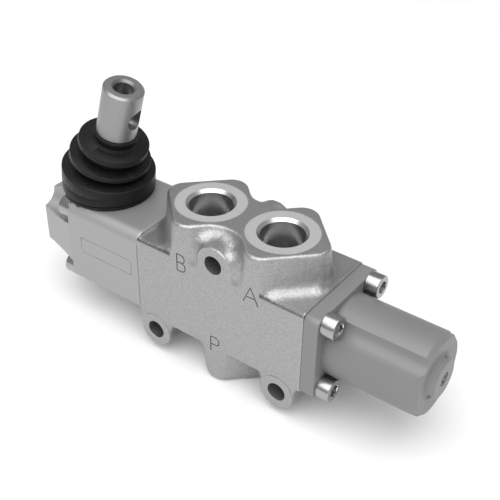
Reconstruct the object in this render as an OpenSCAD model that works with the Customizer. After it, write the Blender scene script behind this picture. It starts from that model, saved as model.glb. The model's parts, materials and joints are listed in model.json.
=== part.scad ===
// Lever-operated monoblock control valve: two work ports on top, one pressure port underneath,
// a spring-return spool, a lever housing on the left and a spring cap on the right.
// The origin is the mouth of the pressure port, +X runs along the spool towards the cap,
// and +Z points to the work ports. Most modules are drawn round the spool's own axis.

/* [Cast block] */
// Spool axis to the lever-side end face
block_left = 41.1; // [40.5:0.1:43]
// Spool axis middle to the cap-side end face
block_right = 43.4; // [42.5:0.1:46]
// Width of the block, front to back
block_w = 44.3; // [43.5:0.1:50]
// Half of the block's height
block_half_h = 19.9; // [19.4:0.1:22]
// Rounding of the block's long edges
block_edge_r = 1.3; // [0.6:0.1:2.5]
// Distance between the two work ports
port_spacing = 36; // [34:0.5:38]
// Height of the work port faces above the spool axis
work_face_h = 36; // [34:0.5:40]
// Depth of the pressure port face below the spool axis
spool_height = 37; // [35.5:0.5:42]
// Half of a work pad across its flats
work_pad_half = 17.2; // [16.4:0.1:17.8]
// Corner radius of a work pad
work_pad_corner = 7.2; // [6:0.1:9]
// Half of the pressure pad across its flats
pressure_pad_half = 18; // [16.5:0.1:18.5]
// Corner radius of the pressure pad
pressure_pad_corner = 8; // [6:0.1:9]
// Draft of the port columns
column_draft = 5; // [2:0.5:7]
// Cast fillet at the foot of a port column
column_fillet = 4.5; // [2:0.1:5.5]
// Rounding of the pad edges
pad_edge_r = 1.2; // [0.5:0.1:2]
// Radius of the waist between the two work pads
waist_r = 14.5; // [13:0.5:15.5]
// Half of the narrowest width between the work pads
waist_half = 12; // [10:0.5:13]

/* [Ports and galleries] */
// Radius of a threaded port, at the thread's crests
port_r = 9.32; // [8.5:0.02:9.6]
// Depth of a threaded port
port_depth = 16; // [12:0.5:16.5]
// Depth of the bevel at a work port's mouth
port_bevel = 1.3; // [0.5:0.1:2]
// Radius of the machined face round a work port
spotface_r = 15.25; // [13:0.05:15.6]
// Depth of the machined face round a work port
spotface_depth = 0.3; // [0.1:0.1:1]
// Radius of the passage from a port to its gallery
passage_r = 7.5; // [5:0.1:8]
// Radius of the ring galleries round the spool
gallery_r = 12; // [11:0.1:13]
// Width of a ring gallery along the spool
gallery_w = 8; // [6:0.5:9]

/* [Mounting holes] */
// Radius of the three mounting holes
mount_hole_r = 4.25; // [3.3:0.05:4.5]
// Distance between the two lug holes
lug_spacing = 64.8; // [62:0.2:66]
// Depth of the lug holes below the spool axis
lug_drop = 25.6; // [24.5:0.1:28]
// Outer radius of a lug
lug_r = 8.1; // [7:0.1:8.3]
// Height of the upper mounting hole above the spool axis
tube_rise = 24.1; // [23.5:0.1:25]
// Outer radius of the tube round the upper mounting hole
tube_r = 8.2; // [7:0.1:8.4]

/* [Spool] */
// Radius of the spool's lands
spool_r = 8; // [7.8:0.05:8.05]
// Radial play of the spool in its bore
spool_play = 0.02; // [0.01:0.01:0.05]
// Radius of the spool between its lands
spool_neck_r = 5; // [4:0.1:6]
// Length of the spool's neck
spool_neck_l = 24; // [22:0.5:25]
// Radius of the spool's tongue in the lever housing
tongue_r = 7; // [6.5:0.1:7.4]
// Length of the tongue beyond the lever's ball
tongue_end = 8.5; // [7:0.5:10]
// Length of the tongue
tongue_l = 40.5; // [36:0.5:42]
// Height of the flat on top of the tongue above the spool axis
tongue_flat = 4.8; // [4:0.1:5.2]

/* [Seals] */
// Radius of the seal pockets at both ends of the block
pocket_r = 12.5; // [12.2:0.1:12.8]
// Depth of the seal pockets
pocket_depth = 7.6; // [7:0.1:8]
// Width of a lip seal
seal_w = 3.1; // [2.5:0.1:3.4]
// Width of the spool wiper
wiper_w = 1.9; // [1.5:0.1:2.2]
// Mean radius of the two static O-rings
o_ring_mean_r = 15; // [14.4:0.1:15.6]
// Radius of the O-rings' section
o_ring_section_r = 0.7; // [0.5:0.05:0.8]
// Radial gap of a seal retainer round the spool
retainer_gap = 0.6; // [0.3:0.1:1]
// Half of the width of a lip seal's groove
seal_groove_half = 0.9; // [0.5:0.1:1.2]

/* [Spring cap] */
// Thickness of the cap's square flange
cap_flange_t = 6.5; // [5:0.5:8]
// Corner radius of the flange
cap_flange_corner = 3; // [2:0.1:4]
// Outer radius of the cap
cap_r = 17.8; // [17.2:0.1:18.2]
// Length of the cap from its flange to its end face
cap_l = 40.9; // [40:0.1:46]
// Length of the bevel at the cap's end
cap_bevel_l = 2.1; // [1:0.1:3]
// Radius of the cap's end face
cap_end_r = 16; // [15:0.1:16.6]
// Radius of the cavity for the spring
cap_cavity_r = 12.5; // [12.2:0.1:12.9]
// Thickness of the cap's end wall
cap_wall = 4.8; // [3.5:0.1:5.5]
// Radius of the end boss at its foot
end_boss_r1 = 10.6; // [9.5:0.1:12]
// Radius of the end boss at its top
end_boss_r2 = 8; // [6:0.1:9]
// Height of the end boss
end_boss_h = 2.7; // [1.5:0.1:4]
// Radius of the notches round the end boss
notch_r = 1.8; // [1:0.1:2.4]
// Height of the notches' floor above the end face
notch_lift = 0.6; // [0.2:0.1:1]
// Radius of the vent plug
plug_r = 2.9; // [2:0.1:3.5]

/* [Return spring] */
// Outer radius of the spring
spring_r = 10; // [9:0.1:11]
// Diameter of the spring's wire
spring_wire = 2.2; // [1.6:0.1:2.4]
// Number of coils
spring_turns = 8.5; // [7.5:1:9.5]
// Thickness of the spring seats
spring_seat_t = 3; // [2:0.1:3.5]
// Height of the step on the inner seat that centres the spring
seat_step_h = 1.2; // [0.6:0.1:1.4]
// Thickness of the outer seat's plate
outer_seat_t = 2; // [1.5:0.1:3]
// Radius of the spring seats
spring_seat_r = 11.5; // [10.8:0.1:12]
// Radius of the stop post on the outer seat
stop_post_r = 5.5; // [4:0.1:6]

/* [Lever housing] */
// Length of the full section of the lever housing
housing_l = 41.1; // [40:0.1:43]
// Length of the tapered nose beyond it
nose_l = 21.1; // [20:0.1:24]
// Step from the block's sides in to the housing's sides
housing_side_step = 0.15; // [0:0.05:1]
// Step from the block's top up to the housing's top
housing_top_step = 0.8; // [0:0.1:2]
// Rounding of the housing's long edges
housing_edge_r = 5.8; // [2:0.1:6.5]
// How far the nose comes in at each side
nose_side_taper = 5.65; // [4:0.05:7]
// How far the nose comes in above and below
nose_top_taper = 4.4; // [3:0.1:6]
// Length over which the nose keeps its full height
nose_level_l = 6.8; // [4:0.1:8]
// Radius of the screw recesses at the nose's end
recess_r1 = 6.65; // [6:0.05:7]
// Radius of the screw recesses at the screw seats
recess_r2 = 7.6; // [7:0.1:7.8]
// Thickness of the housing's end wall
housing_wall = 5.3; // [4:0.1:7]
// Radius of the chamber that the spool's tongue slides in
chamber_r = 9.5; // [9:0.1:10]
// Radius of the collar that the boot grips
collar_r = 17.9; // [17:0.1:18.2]
// Height of the collar
collar_h = 5.6; // [5:0.1:6]
// Radius of the collar's foot
collar_foot_r = 19.4; // [18.6:0.1:19.6]
// Width of the lever's slot, front to back
lever_slot_w = 21; // [20:0.1:22]
// Length of the lever's slot, along the spool
lever_slot_l = 26; // [25:0.5:27]

/* [Lever] */
// Distance of the pivot from the cast block's end face
pivot_reach = 36.9; // [36:0.1:38]
// Height of the pivot above the spool axis
pivot_h = 22.3; // [22:0.1:23]
// Lean of the lever at rest, which is also its lean the other way
lever_lean = 16; // [12:0.5:17]
// Length of the lever from its pivot to its top
lever_l = 54.1; // [50:0.1:60]
// Radius of the lever's plain head
lever_head_r = 8.8; // [7.5:0.1:9.2]
// Length of the lever's plain head
lever_head_l = 23.2; // [22:0.1:25]
// Radius of the shank below the head
shank_r = 6; // [5:0.1:6.5]
// Radius of the hub at the pivot
hub_r = 7.5; // [6.5:0.1:8]
// Width of the hub
hub_w = 17.6; // [16:0.1:17.8]
// Radius of the arm between hub and ball
arm_r = 3.2; // [2.5:0.1:3.3]
// Radius of the ball in the spool's tongue
ball_r = 4.9; // [4.5:0.05:5]
// Radius of the threaded hole in the lever's top
lever_thread_r = 4.25; // [3.5:0.05:5]
// Depth of that hole, which opens into the cross hole
lever_thread_depth = 12; // [10:0.5:14]
// Radius of the cross hole in the lever's head
cross_hole_r = 4.6; // [3.5:0.1:5]
// Distance of the cross hole from the lever's top
cross_hole_drop = 12.7; // [10:0.1:14]
// Turn of the cross hole about the lever's axis
cross_hole_turn = 8; // [-20:1:20]
// Radius of the pivot pin
pin_r = 2.5; // [2:0.1:2.6]
// Length of the pivot pin
pin_l = 33; // [32:0.5:34]
// Wall of the pivot bush
bush_wall = 1.5; // [1:0.1:2]
// Radius of the thrust washers
washer_r = 6.5; // [5.5:0.1:7]

/* [Boot] */
// Offset of the boot's foot from the pivot, towards the cast block
boot_shift = 1.7; // [0:0.1:2]
// Wall of the boot
boot_wall = 1.8; // [1.4:0.1:2]
// Radius of the boot's skirt
boot_skirt_r = 20.8; // [20.4:0.1:21.4]
// Radius of the lower bellow
boot_lower_r = 17.9; // [17.5:0.1:18.8]
// Radius of the upper bellow
boot_upper_r = 15.4; // [15:0.1:16.2]
// Radius of the boot's neck, which grips the shank just below the lever's head
boot_neck_r = 9.6; // [9:0.1:10]

/* [Screws] */
// Distance of the cap screws from the block's sides
cap_screw_inset_y = 6.05; // [5.5:0.05:6.5]
// Distance of the cap screws from the block's top and underside
cap_screw_inset_z = 3.9; // [3.7:0.1:4.4]
// Distance of the housing screws from the housing's sides
housing_screw_inset_y = 5.4; // [5:0.1:5.8]
// Distance of the housing screws from the housing's top and underside
housing_screw_inset_z = 4.9; // [4.5:0.1:5.3]
// Radius of a screw's thread
screw_r = 2.75; // [2.2:0.05:2.9]
// Radius of a screw's head
screw_head_r = 5; // [4.25:0.05:5.1]
// Height of a screw's head
screw_head_h = 6; // [5:0.1:6.2]
// Width of the hexagon socket across its flats
socket_w = 5; // [4:0.5:5]
// Depth that the screws reach into the block
screw_reach = 13; // [10:0.5:14]

/* [Fits] */
// Radial gap of a screw in a plain hole
hole_gap = 0.4; // [0.3:0.05:0.5]
// Gap between stacked or seated parts
seat_gap = 0.1; // [0.05:0.05:0.2]
// Radial gap of a part pressed or screwed in
press_gap = 0.05; // [0.02:0.01:0.08]
// Gap between the spool's end travel and its stop
stop_gap = 0.2; // [0.1:0.05:0.4]

/* [Hidden] */
$fn = 64;
eps = 0.02;
over = 1;

// Sizes of the housing's section and places of the screws, from the block's own section
housing_half_w = block_w / 2 - housing_side_step;
housing_half_h = block_half_h + housing_top_step;
nose_half_w = housing_half_w - nose_side_taper;
nose_half_h = housing_half_h - nose_top_taper;
cap_screw_y = block_w / 2 - cap_screw_inset_y;
cap_screw_z = block_half_h - cap_screw_inset_z;
housing_screw_y = housing_half_w - housing_screw_inset_y;
housing_screw_z = housing_half_h - housing_screw_inset_z;

// Stations along the spool axis
pivot_x = -(block_left + pivot_reach);
ball_x = pivot_x - pivot_h * sin(lever_lean);
stroke = 2 * pivot_h * sin(lever_lean);
tongue_x = ball_x - tongue_end;
spool_right = block_right;
spool_thread_depth = screw_reach + 2.6;
housing_seat_x = -(block_left + housing_l);
nose_x = housing_seat_x - nose_l;
chamber_end_x = nose_x + housing_wall;
cap_seat_x = block_right + cap_flange_t;
cap_end_x = cap_seat_x + cap_l;
cavity_end_x = cap_end_x - cap_wall;
inner_seat_x = block_right + seat_gap;
head_seat_x = inner_seat_x + spring_seat_t + seat_step_h;
spring_x1 = inner_seat_x + spring_seat_t + seat_gap;
spring_x2 = cavity_end_x - seat_gap - outer_seat_t - seat_gap;
stop_x = head_seat_x + screw_head_h + stroke + stop_gap;
retainer_left_w = pocket_depth - seal_w - wiper_w - 4 * seat_gap;
retainer_right_w = pocket_depth - seal_w - 3 * seat_gap;
passage_foot = gallery_r - 1.5;
bore_r = spool_r + spool_play;
ring_outer_r = pocket_r - seat_gap;

// The boot stands on the collar's foot
boot_x = pivot_x + boot_shift;
collar_foot_h = 0.1;
collar_base_z = housing_half_h + collar_foot_h;
boot_z = collar_base_z + press_gap;

// Shared helpers
module lift() { translate([0, 0, spool_height]) children(); }
module along_x(x, y = 0, z = 0) { translate([x, y, z]) rotate([0, 90, 0]) children(); }
module along_y(x, y, z) { translate([x, y, z]) rotate([-90, 0, 0]) children(); }
module at_pivot() { translate([pivot_x, 0, pivot_h]) rotate([0, lever_lean, 0]) children(); }
module four(y, z) { for (sy = [-1, 1], sz = [-1, 1]) translate([0, sy * y, sz * z]) children(); }
module both_ports() { for (s = [-1, 1]) translate([s * port_spacing / 2, 0, 0]) children(); }
module both_lugs() { for (s = [-1, 1]) translate([s * lug_spacing / 2, 0, -lug_drop]) children(); }

module rounded_rect(w, h, r) {
    square([w - 2 * r, h], center = true);
    square([w, h - 2 * r], center = true);
    for (sx = [-1, 1], sy = [-1, 1]) translate([sx * (w / 2 - r), sy * (h / 2 - r)]) circle(r);
}

// A bar along X with rounded long edges
module rounded_bar(x1, x2, w, h, r) {
    along_x(x1) linear_extrude(x2 - x1) rotate(90) rounded_rect(w, h, r);
}

// A ring round the X axis from a half section, given as [radius, x] points
module turned(points) { rotate([0, 90, 0]) rotate_extrude() polygon(points); }
module ring(x1, x2, r1, r2) { turned([[r1, x1], [r2, x1], [r2, x2], [r1, x2]]); }

// A port column: a rounded square turned by 45 degrees, with a rounded pad edge, drafted flanks and
// a cast fillet at its foot. The half section runs outwards from a corner's own centre line, and
// downwards from the pad at height 0.
function column_half_section(corner, height) = let (
    f = column_fillet, d = column_draft, e = pad_edge_r, arc_z = -height + f,
    flank_r = corner - (arc_z - f * sin(d)) * tan(d), arc_r = flank_r + f * cos(d)) concat(
    [[0, 0]],
    [for (a = [90 : -30 : 0]) [corner + e * (cos(a) - 1), e * (sin(a) - 1)]],
    [for (i = [0 : 4]) let (a = 180 + d + i * (90 - d) / 4) [arc_r + f * cos(a), arc_z + f * sin(a)]],
    [[arc_r, -height - 2 * over], [0, -height - 2 * over]]);

module port_column(half, corner, height) {
    s = half - corner;
    section = column_half_section(corner, height);
    rotate(45) for (q = [0 : 3]) rotate(90 * q) translate([s, s, 0]) {
        rotate_extrude() polygon(section);
        rotate([90, 0, 0]) linear_extrude(2 * s)
            polygon(concat(section, [[-s, -height - 2 * over], [-s, 0]]));
    }
}

// Side faces and two end caps over rings of n points each
function skin(rings, n) = concat(
    [[for (i = [n - 1 : -1 : 0]) i]],
    [for (k = [0 : rings - 2], i = [0 : n - 1]) let (j = (i + 1) % n)
        [k * n + i, k * n + j, (k + 1) * n + j, (k + 1) * n + i]],
    [[for (i = [0 : n - 1]) (rings - 1) * n + i]]);

// Cast block
module block_slab() {
    translate([-block_left, -block_w / 2, -spool_height - over])
        cube([block_left + block_right, block_w, spool_height + work_face_h + 2 * over]);
}

module waist() {
    reach = waist_half + waist_r;
    overlap = 0.5;
    half_l = waist_r * sin(45) + overlap;
    difference() {
        translate([-half_l, -reach + waist_r / 2, 0])
            cube([2 * half_l, 2 * reach - waist_r, work_face_h - pad_edge_r / 2]);
        for (s = [-1, 1]) translate([0, s * reach, -over]) cylinder(r = waist_r, h = work_face_h + 2 * over);
    }
}

module lugs() {
    both_lugs() {
        along_y(0, -block_w / 2, 0) cylinder(r = lug_r, h = block_w);
        translate([-lug_r, -block_w / 2, 0]) cube([2 * lug_r, block_w, lug_drop - block_half_h + over]);
    }
}

module block_solids() {
    rounded_bar(-block_left, block_right, block_w, 2 * block_half_h, block_edge_r);
    intersection() {
        union() {
            both_ports() translate([0, 0, work_face_h])
                port_column(work_pad_half, work_pad_corner, work_face_h - block_half_h);
            translate([0, 0, -spool_height]) rotate([180, 0, 0])
                port_column(pressure_pad_half, pressure_pad_corner, spool_height - block_half_h);
        }
        block_slab();
    }
    waist();
    along_y(0, -block_w / 2, tube_rise) cylinder(r = tube_r, h = block_w);
    lugs();
}

module port_cuts() {
    both_ports() translate([0, 0, work_face_h]) {
        translate([0, 0, -spotface_depth]) cylinder(r = spotface_r, h = over);
        translate([0, 0, -spotface_depth - port_bevel])
            cylinder(r1 = port_r, r2 = port_r + port_bevel + eps, h = port_bevel + eps);
        translate([0, 0, -port_depth]) cylinder(r = port_r, h = port_depth + over);
        translate([0, 0, passage_foot - work_face_h]) cylinder(r = passage_r, h = work_face_h - gallery_r);
    }
    translate([0, 0, -spool_height - over]) cylinder(r = port_r, h = port_depth + over);
    translate([0, 0, -spool_height + over]) cylinder(r = passage_r, h = spool_height - passage_foot - over);
}

module spool_cuts() {
    along_x(-block_left - over) cylinder(r = bore_r, h = block_left + block_right + 2 * over);
    for (x = [-port_spacing / 2, 0, port_spacing / 2])
        along_x(x - gallery_w / 2) cylinder(r = gallery_r, h = gallery_w);
    along_x(-block_left - over) cylinder(r = pocket_r, h = pocket_depth + over);
    along_x(block_right - pocket_depth) cylinder(r = pocket_r, h = pocket_depth + over);
}

module fastening_cuts() {
    both_lugs() along_y(0, -block_w / 2 - over, 0) cylinder(r = mount_hole_r, h = block_w + 2 * over);
    along_y(0, -block_w / 2 - over, tube_rise) cylinder(r = mount_hole_r, h = block_w + 2 * over);
    four(housing_screw_y, housing_screw_z) along_x(-block_left - over)
        cylinder(r = screw_r + press_gap, h = screw_reach + 2 * over);
    four(cap_screw_y, cap_screw_z) along_x(block_right - screw_reach - over)
        cylinder(r = screw_r + press_gap, h = screw_reach + 2 * over);
}

module valve_body() {
    color("gainsboro") lift() difference() {
        block_solids();
        port_cuts();
        spool_cuts();
        fastening_cuts();
    }
}

// Spool with its lands, its neck, the tongue for the lever's ball and the thread at the cap side
module spool() {
    neck_x = -stroke / 2 - spool_neck_l / 2;
    slot_half_x = ball_r + seat_gap;
    slot_half_y = ball_r + 2 * seat_gap;
    color("silver") lift() difference() {
        turned([[0, tongue_x], [tongue_r - 1, tongue_x], [tongue_r, tongue_x + 1],
            [tongue_r, tongue_x + tongue_l], [spool_r, tongue_x + tongue_l + 1], [spool_r, neck_x],
            [spool_neck_r, neck_x + 1], [spool_neck_r, neck_x + spool_neck_l - 1],
            [spool_r, neck_x + spool_neck_l], [spool_r, spool_right - 0.5], [spool_r - 0.5, spool_right],
            [0, spool_right]]);
        translate([ball_x - slot_half_x, -slot_half_y, -ball_r - over])
            cube([2 * slot_half_x, 2 * slot_half_y, 2 * tongue_r]);
        translate([tongue_x - over, -spool_r, tongue_flat]) cube([2 * tongue_end + over, 2 * spool_r, spool_r]);
        along_x(spool_right - spool_thread_depth)
            cylinder(r = screw_r + press_gap, h = spool_thread_depth + over);
    }
}

// A lip seal with a V groove on the side that the oil presses on
module lip_seal() {
    r1 = bore_r + press_gap;
    mid = (r1 + ring_outer_r) / 2;
    g = seal_groove_half;
    turned([[r1, 0], [mid - g, 0], [mid, seal_w / 2], [mid + g, 0], [ring_outer_r, 0],
        [ring_outer_r, seal_w], [r1, seal_w]]);
}

module spool_seal_lever_side() {
    color("dimgray") lift()
        translate([-block_left + pocket_depth - seat_gap, 0, 0]) mirror([1, 0, 0]) lip_seal();
}

module spool_seal_cap_side() {
    color("dimgray") lift() translate([block_right - pocket_depth + seat_gap, 0, 0]) lip_seal();
}

retainer_bore_r = spool_r + retainer_gap;
module seal_retainer_lever_side() {
    x2 = -block_left + pocket_depth - seal_w - 2 * seat_gap;
    color("darkgray") lift() ring(x2 - retainer_left_w, x2, retainer_bore_r, ring_outer_r);
}

module seal_retainer_cap_side() {
    x1 = block_right - pocket_depth + seal_w + 2 * seat_gap;
    color("darkgray") lift() ring(x1, x1 + retainer_right_w, retainer_bore_r, ring_outer_r);
}

module spool_wiper() {
    r1 = bore_r + press_gap;
    color("dimgray") lift() translate([-block_left + seat_gap, 0, 0])
        turned([[r1, 0], [r1 + 0.8, 0], [r1 + 1.6, wiper_w / 2], [ring_outer_r, wiper_w / 2],
            [ring_outer_r, wiper_w], [r1 + 0.6, wiper_w]]);
}

// Static seals, each in a groove of the part that is bolted on
o_groove_w = 2 * o_ring_section_r + 2 * seat_gap;
o_groove_h = 2 * o_ring_section_r + seat_gap / 2;
module o_groove(x1) {
    ring(x1, x1 + o_groove_h + over, o_ring_mean_r - o_groove_w / 2, o_ring_mean_r + o_groove_w / 2);
}
module o_ring(x) {
    translate([x, 0, 0]) rotate([0, 90, 0])
        rotate_extrude() translate([o_ring_mean_r, 0]) circle(o_ring_section_r, $fn = 24);
}

module housing_o_ring() { color("black") lift() o_ring(-block_left - o_ring_section_r - seat_gap / 4); }
module cap_o_ring() { color("black") lift() o_ring(block_right + o_ring_section_r + seat_gap / 4); }

// Lever housing: a full section at the block, a tapered nose with screw recesses, and the boot's collar
module nose() {
    intersection() {
        translate([0, 0, -2 * housing_half_h]) linear_extrude(4 * housing_half_h)
            polygon([[housing_seat_x + over, -housing_half_w], [housing_seat_x, -housing_half_w],
                [nose_x, -nose_half_w], [nose_x, nose_half_w], [housing_seat_x, housing_half_w],
                [housing_seat_x + over, housing_half_w]]);
        translate([0, 2 * housing_half_w, 0]) rotate([90, 0, 0]) linear_extrude(4 * housing_half_w)
            polygon([[housing_seat_x + over, -housing_half_h], [housing_seat_x - nose_level_l, -housing_half_h],
                [nose_x, -nose_half_h], [nose_x, nose_half_h], [housing_seat_x - nose_level_l, housing_half_h],
                [housing_seat_x + over, housing_half_h]]);
        rounded_bar(nose_x - over, housing_seat_x + 2 * over, 2 * housing_half_w, 2 * housing_half_h,
            housing_edge_r);
    }
}

module collar() {
    translate([boot_x, 0, 0]) {
        cylinder(r = collar_foot_r, h = collar_base_z);
        cylinder(r = collar_r, h = collar_base_z + collar_h);
    }
}

module screw_recesses() {
    taper = (recess_r2 - recess_r1) / nose_l;
    four(housing_screw_y, housing_screw_z) along_x(nose_x - over)
        cylinder(r1 = recess_r1 - taper * over, r2 = recess_r2, h = nose_l + over);
}

module lever_slot() {
    translate([pivot_x - lever_slot_l / 2, -lever_slot_w / 2, 0])
        cube([lever_slot_l, lever_slot_w, collar_base_z + collar_h + over]);
}

module lever_housing() {
    color("lightgray") lift() difference() {
        union() {
            rounded_bar(housing_seat_x, -block_left, 2 * housing_half_w, 2 * housing_half_h, housing_edge_r);
            nose();
            collar();
        }
        screw_recesses();
        along_x(chamber_end_x) cylinder(r = chamber_r, h = -block_left - chamber_end_x + over);
        lever_slot();
        along_y(pivot_x, -collar_foot_r - over, pivot_h)
            cylinder(r = pin_r + press_gap, h = 2 * collar_foot_r + 2 * over);
        four(housing_screw_y, housing_screw_z) along_x(housing_seat_x - over)
            cylinder(r = screw_r + hole_gap, h = housing_l + 2 * over);
        o_groove(-block_left - o_groove_h);
    }
}

// A socket head screw: head above z = 0, thread below
module socket_screw(length) {
    bevel = 0.5;
    difference() {
        rotate_extrude() polygon([[0, -length], [screw_r - bevel, -length], [screw_r, -length + bevel],
            [screw_r, 0], [screw_head_r, 0], [screw_head_r, screw_head_h - bevel],
            [screw_head_r - bevel, screw_head_h], [0, screw_head_h]]);
        translate([0, 0, screw_head_h / 2]) cylinder(d = socket_w / cos(30), h = screw_head_h, $fn = 6);
    }
}

module housing_screws() {
    color("whitesmoke") lift() four(housing_screw_y, housing_screw_z) translate([housing_seat_x, 0, 0])
        rotate([0, -90, 0]) socket_screw(housing_l + screw_reach);
}

module cap_screws() {
    color("whitesmoke") lift() four(cap_screw_y, cap_screw_z) along_x(cap_seat_x)
        socket_screw(cap_flange_t + screw_reach);
}

module spool_end_screw() {
    color("silver") lift() along_x(head_seat_x) socket_screw(head_seat_x - spool_right + screw_reach);
}

// Lever: threaded head, shank, hub and the arm whose ball moves the spool
module lever() {
    head_z = lever_l - lever_head_l;
    bevel = 1;
    color("silver") lift() at_pivot() difference() {
        union() {
            rotate_extrude() polygon([[0, 0], [shank_r, 0], [shank_r, head_z], [lever_head_r, head_z],
                [lever_head_r, lever_l - bevel], [lever_head_r - bevel, lever_l], [0, lever_l]]);
            along_y(0, -hub_w / 2, 0) cylinder(r = hub_r, h = hub_w);
            translate([0, 0, -pivot_h]) cylinder(r = arm_r, h = pivot_h);
            translate([0, 0, -pivot_h]) sphere(ball_r);
        }
        along_y(0, -hub_w / 2 - over, 0) cylinder(r = bush_r + press_gap / 2, h = hub_w + 2 * over);
        translate([0, 0, lever_l - lever_thread_depth])
            cylinder(r = lever_thread_r, h = lever_thread_depth + over);
        translate([0, 0, lever_l - bevel])
            cylinder(r1 = lever_thread_r, r2 = lever_thread_r + bevel + eps, h = bevel + eps);
        rotate(cross_hole_turn) along_x(-lever_head_r - over, 0, lever_l - cross_hole_drop)
            cylinder(r = cross_hole_r, h = 2 * lever_head_r + 2 * over);
    }
}

bush_bore_r = pin_r + press_gap;
bush_r = bush_bore_r + bush_wall;
module pivot_bush() {
    color("darkgoldenrod") lift() at_pivot() difference() {
        along_y(0, -hub_w / 2, 0) cylinder(r = bush_r, h = hub_w);
        along_y(0, -hub_w / 2 - over, 0) cylinder(r = bush_bore_r, h = hub_w + 2 * over);
    }
}

module pivot_pin() {
    color("silver") lift() along_y(pivot_x, -pin_l / 2, pivot_h) cylinder(r = pin_r, h = pin_l);
}

module pivot_washers() {
    t = (lever_slot_w - hub_w) / 2 - 2 * seat_gap;
    color("darkgoldenrod") lift() for (s = [-1, 1])
        translate([pivot_x, s * (hub_w / 2 + seat_gap + t / 2), pivot_h]) rotate([90, 0, 0]) difference() {
            cylinder(r = washer_r, h = t, center = true);
            cylinder(r = pin_r + press_gap, h = t + 2 * over, center = true);
        }
}

// Boot: a closed bellows wall lofted along an axis that bends from the collar to the lever.
// Each section point is [radius, height above the collar's foot].
boot_top = lever_l - lever_head_l - seat_gap + pivot_h - boot_z;
function boot_section() = let (w = boot_wall, s = boot_skirt_r, l = boot_lower_r, u = boot_upper_r,
    n = boot_neck_r, g = shank_r + seat_gap, t = boot_top) [
    [s - 0.6, 0], [s - 0.6, 1.5], [s - 1.1, 1.8], [s - 1.1, 2.1], [s, 2.5], [s, 11.4], [s - 0.8, 12.3],
    [l - 3.3, 13], [l - 3.3, 14.6], [l - 0.3, 16.4], [l, 16.8], [l, 19], [l - 0.4, 19.4],
    [u - 3, 20], [u - 3, 21.8], [u - 0.3, 24.2], [u, 24.6], [u, 26.8], [u - 0.4, 27.2], [n + 0.5, 27.6],
    [n, t - 4], [n - 1, t - 3.6], [n - 1, t - 1.9], [n, t - 1.5], [n, t - 0.5], [n - 0.5, t],
    [g, t], [g, t - 4.3], [g + 2.5, 25.9], [u - w - 0.6, 25.2], [u - w - 3, 23], [u - w - 3, 18.3],
    [l - w - 0.6, 17.6], [l - w - 3.3, 15.8], [l - w - 3.3, 11.3], [s - w - 0.5, 10.4],
    [s - w - 0.5, 3], [s - w - 0.9, 2], [s - w - 0.9, 0]];

// Share of the lever's axis in the boot's middle line, and of its lean in the boot's rings, by height
boot_bend = [[0, 0], [28, 1]];
boot_tilt = [[2, 0], [21.8, 1.2], [26, 1.2], [28, 1]];
function boot_centre(h) = let (t = lookup(h, boot_bend), d = h + boot_z - pivot_h)
    [boot_x, 0, boot_z + h] * (1 - t) + [pivot_x + d * sin(lever_lean), 0, pivot_h + d * cos(lever_lean)] * t;
boot_steps = 36;
function boot_ring(r, h) = let (c = boot_centre(h), a = lever_lean * lookup(h, boot_tilt)) [
    for (i = [0 : boot_steps - 1]) let (b = 360 * i / boot_steps)
        [c[0] + r * cos(b) * cos(a), r * sin(b), c[2] - r * cos(b) * sin(a)]];

module lever_boot() {
    section = boot_section();
    m = len(section);
    n = boot_steps;
    points = [for (p = section) each boot_ring(p[0], p[1])];
    faces = [for (k = [0 : m - 1], i = [0 : n - 1]) let (k2 = (k + 1) % m, j = (i + 1) % n)
        [k * n + i, k * n + j, k2 * n + j, k2 * n + i]];
    color("#26282a") lift() polyhedron(points, faces, convexity = 8);
}

// Spring cap: square flange, drawn-out cup with four screw recesses, and a notched end boss
notch_angles = [76, 200, 316];
module spring_cap() {
    boss_x = cap_end_x + end_boss_h;
    color("darkgray") lift() difference() {
        union() {
            rounded_bar(block_right, cap_seat_x, block_w, 2 * block_half_h, cap_flange_corner);
            turned([[0, block_right + over], [cap_r, block_right + over], [cap_r, cap_end_x - cap_bevel_l],
                [cap_end_r, cap_end_x], [end_boss_r1, cap_end_x], [end_boss_r2, boss_x], [0, boss_x]]);
        }
        four(cap_screw_y, cap_screw_z) along_x(cap_seat_x) cylinder(r = recess_r1, h = cap_l + over);
        four(cap_screw_y, cap_screw_z) along_x(block_right - over)
            cylinder(r = screw_r + hole_gap, h = cap_flange_t + 2 * over);
        along_x(block_right - over) cylinder(r = cap_cavity_r, h = cavity_end_x - block_right + over);
        along_x(cavity_end_x - over) cylinder(r = plug_r + press_gap, h = boss_x - cavity_end_x + 2 * over);
        for (a = notch_angles) rotate([a, 0, 0]) along_x(cap_end_x + notch_lift, end_boss_r1, 0)
            cylinder(r = notch_r, h = end_boss_h);
        mirror([1, 0, 0]) o_groove(-block_right - o_groove_h);
    }
}

module vent_plug() {
    color("gray") lift() along_x(cavity_end_x + seat_gap)
        cylinder(r = plug_r, h = cap_end_x + end_boss_h - cavity_end_x - 2 * seat_gap);
}

// Return spring with closed end coils, swept along a helix of varying pitch
spring_sides = 8;
coil_steps = 20;
function spring_rise(t) = let (n = spring_turns, p = (spring_x2 - spring_x1 - 3 * spring_wire) / (n - 2))
    t < 1 ? spring_wire * t : t > n - 1 ? spring_x2 - spring_x1 - spring_wire * (1 + n - t)
    : spring_wire + p * (t - 1);
function spring_ring(t) = let (a = 360 * t, r = spring_r - spring_wire / 2, w = spring_wire / 2) [
    for (i = [0 : spring_sides - 1]) let (b = 360 * (i + 0.5) / spring_sides, q = (r + w * cos(b)))
        [spring_x1 + w + spring_rise(t) + w * sin(b), q * cos(a), q * sin(a)]];

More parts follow.
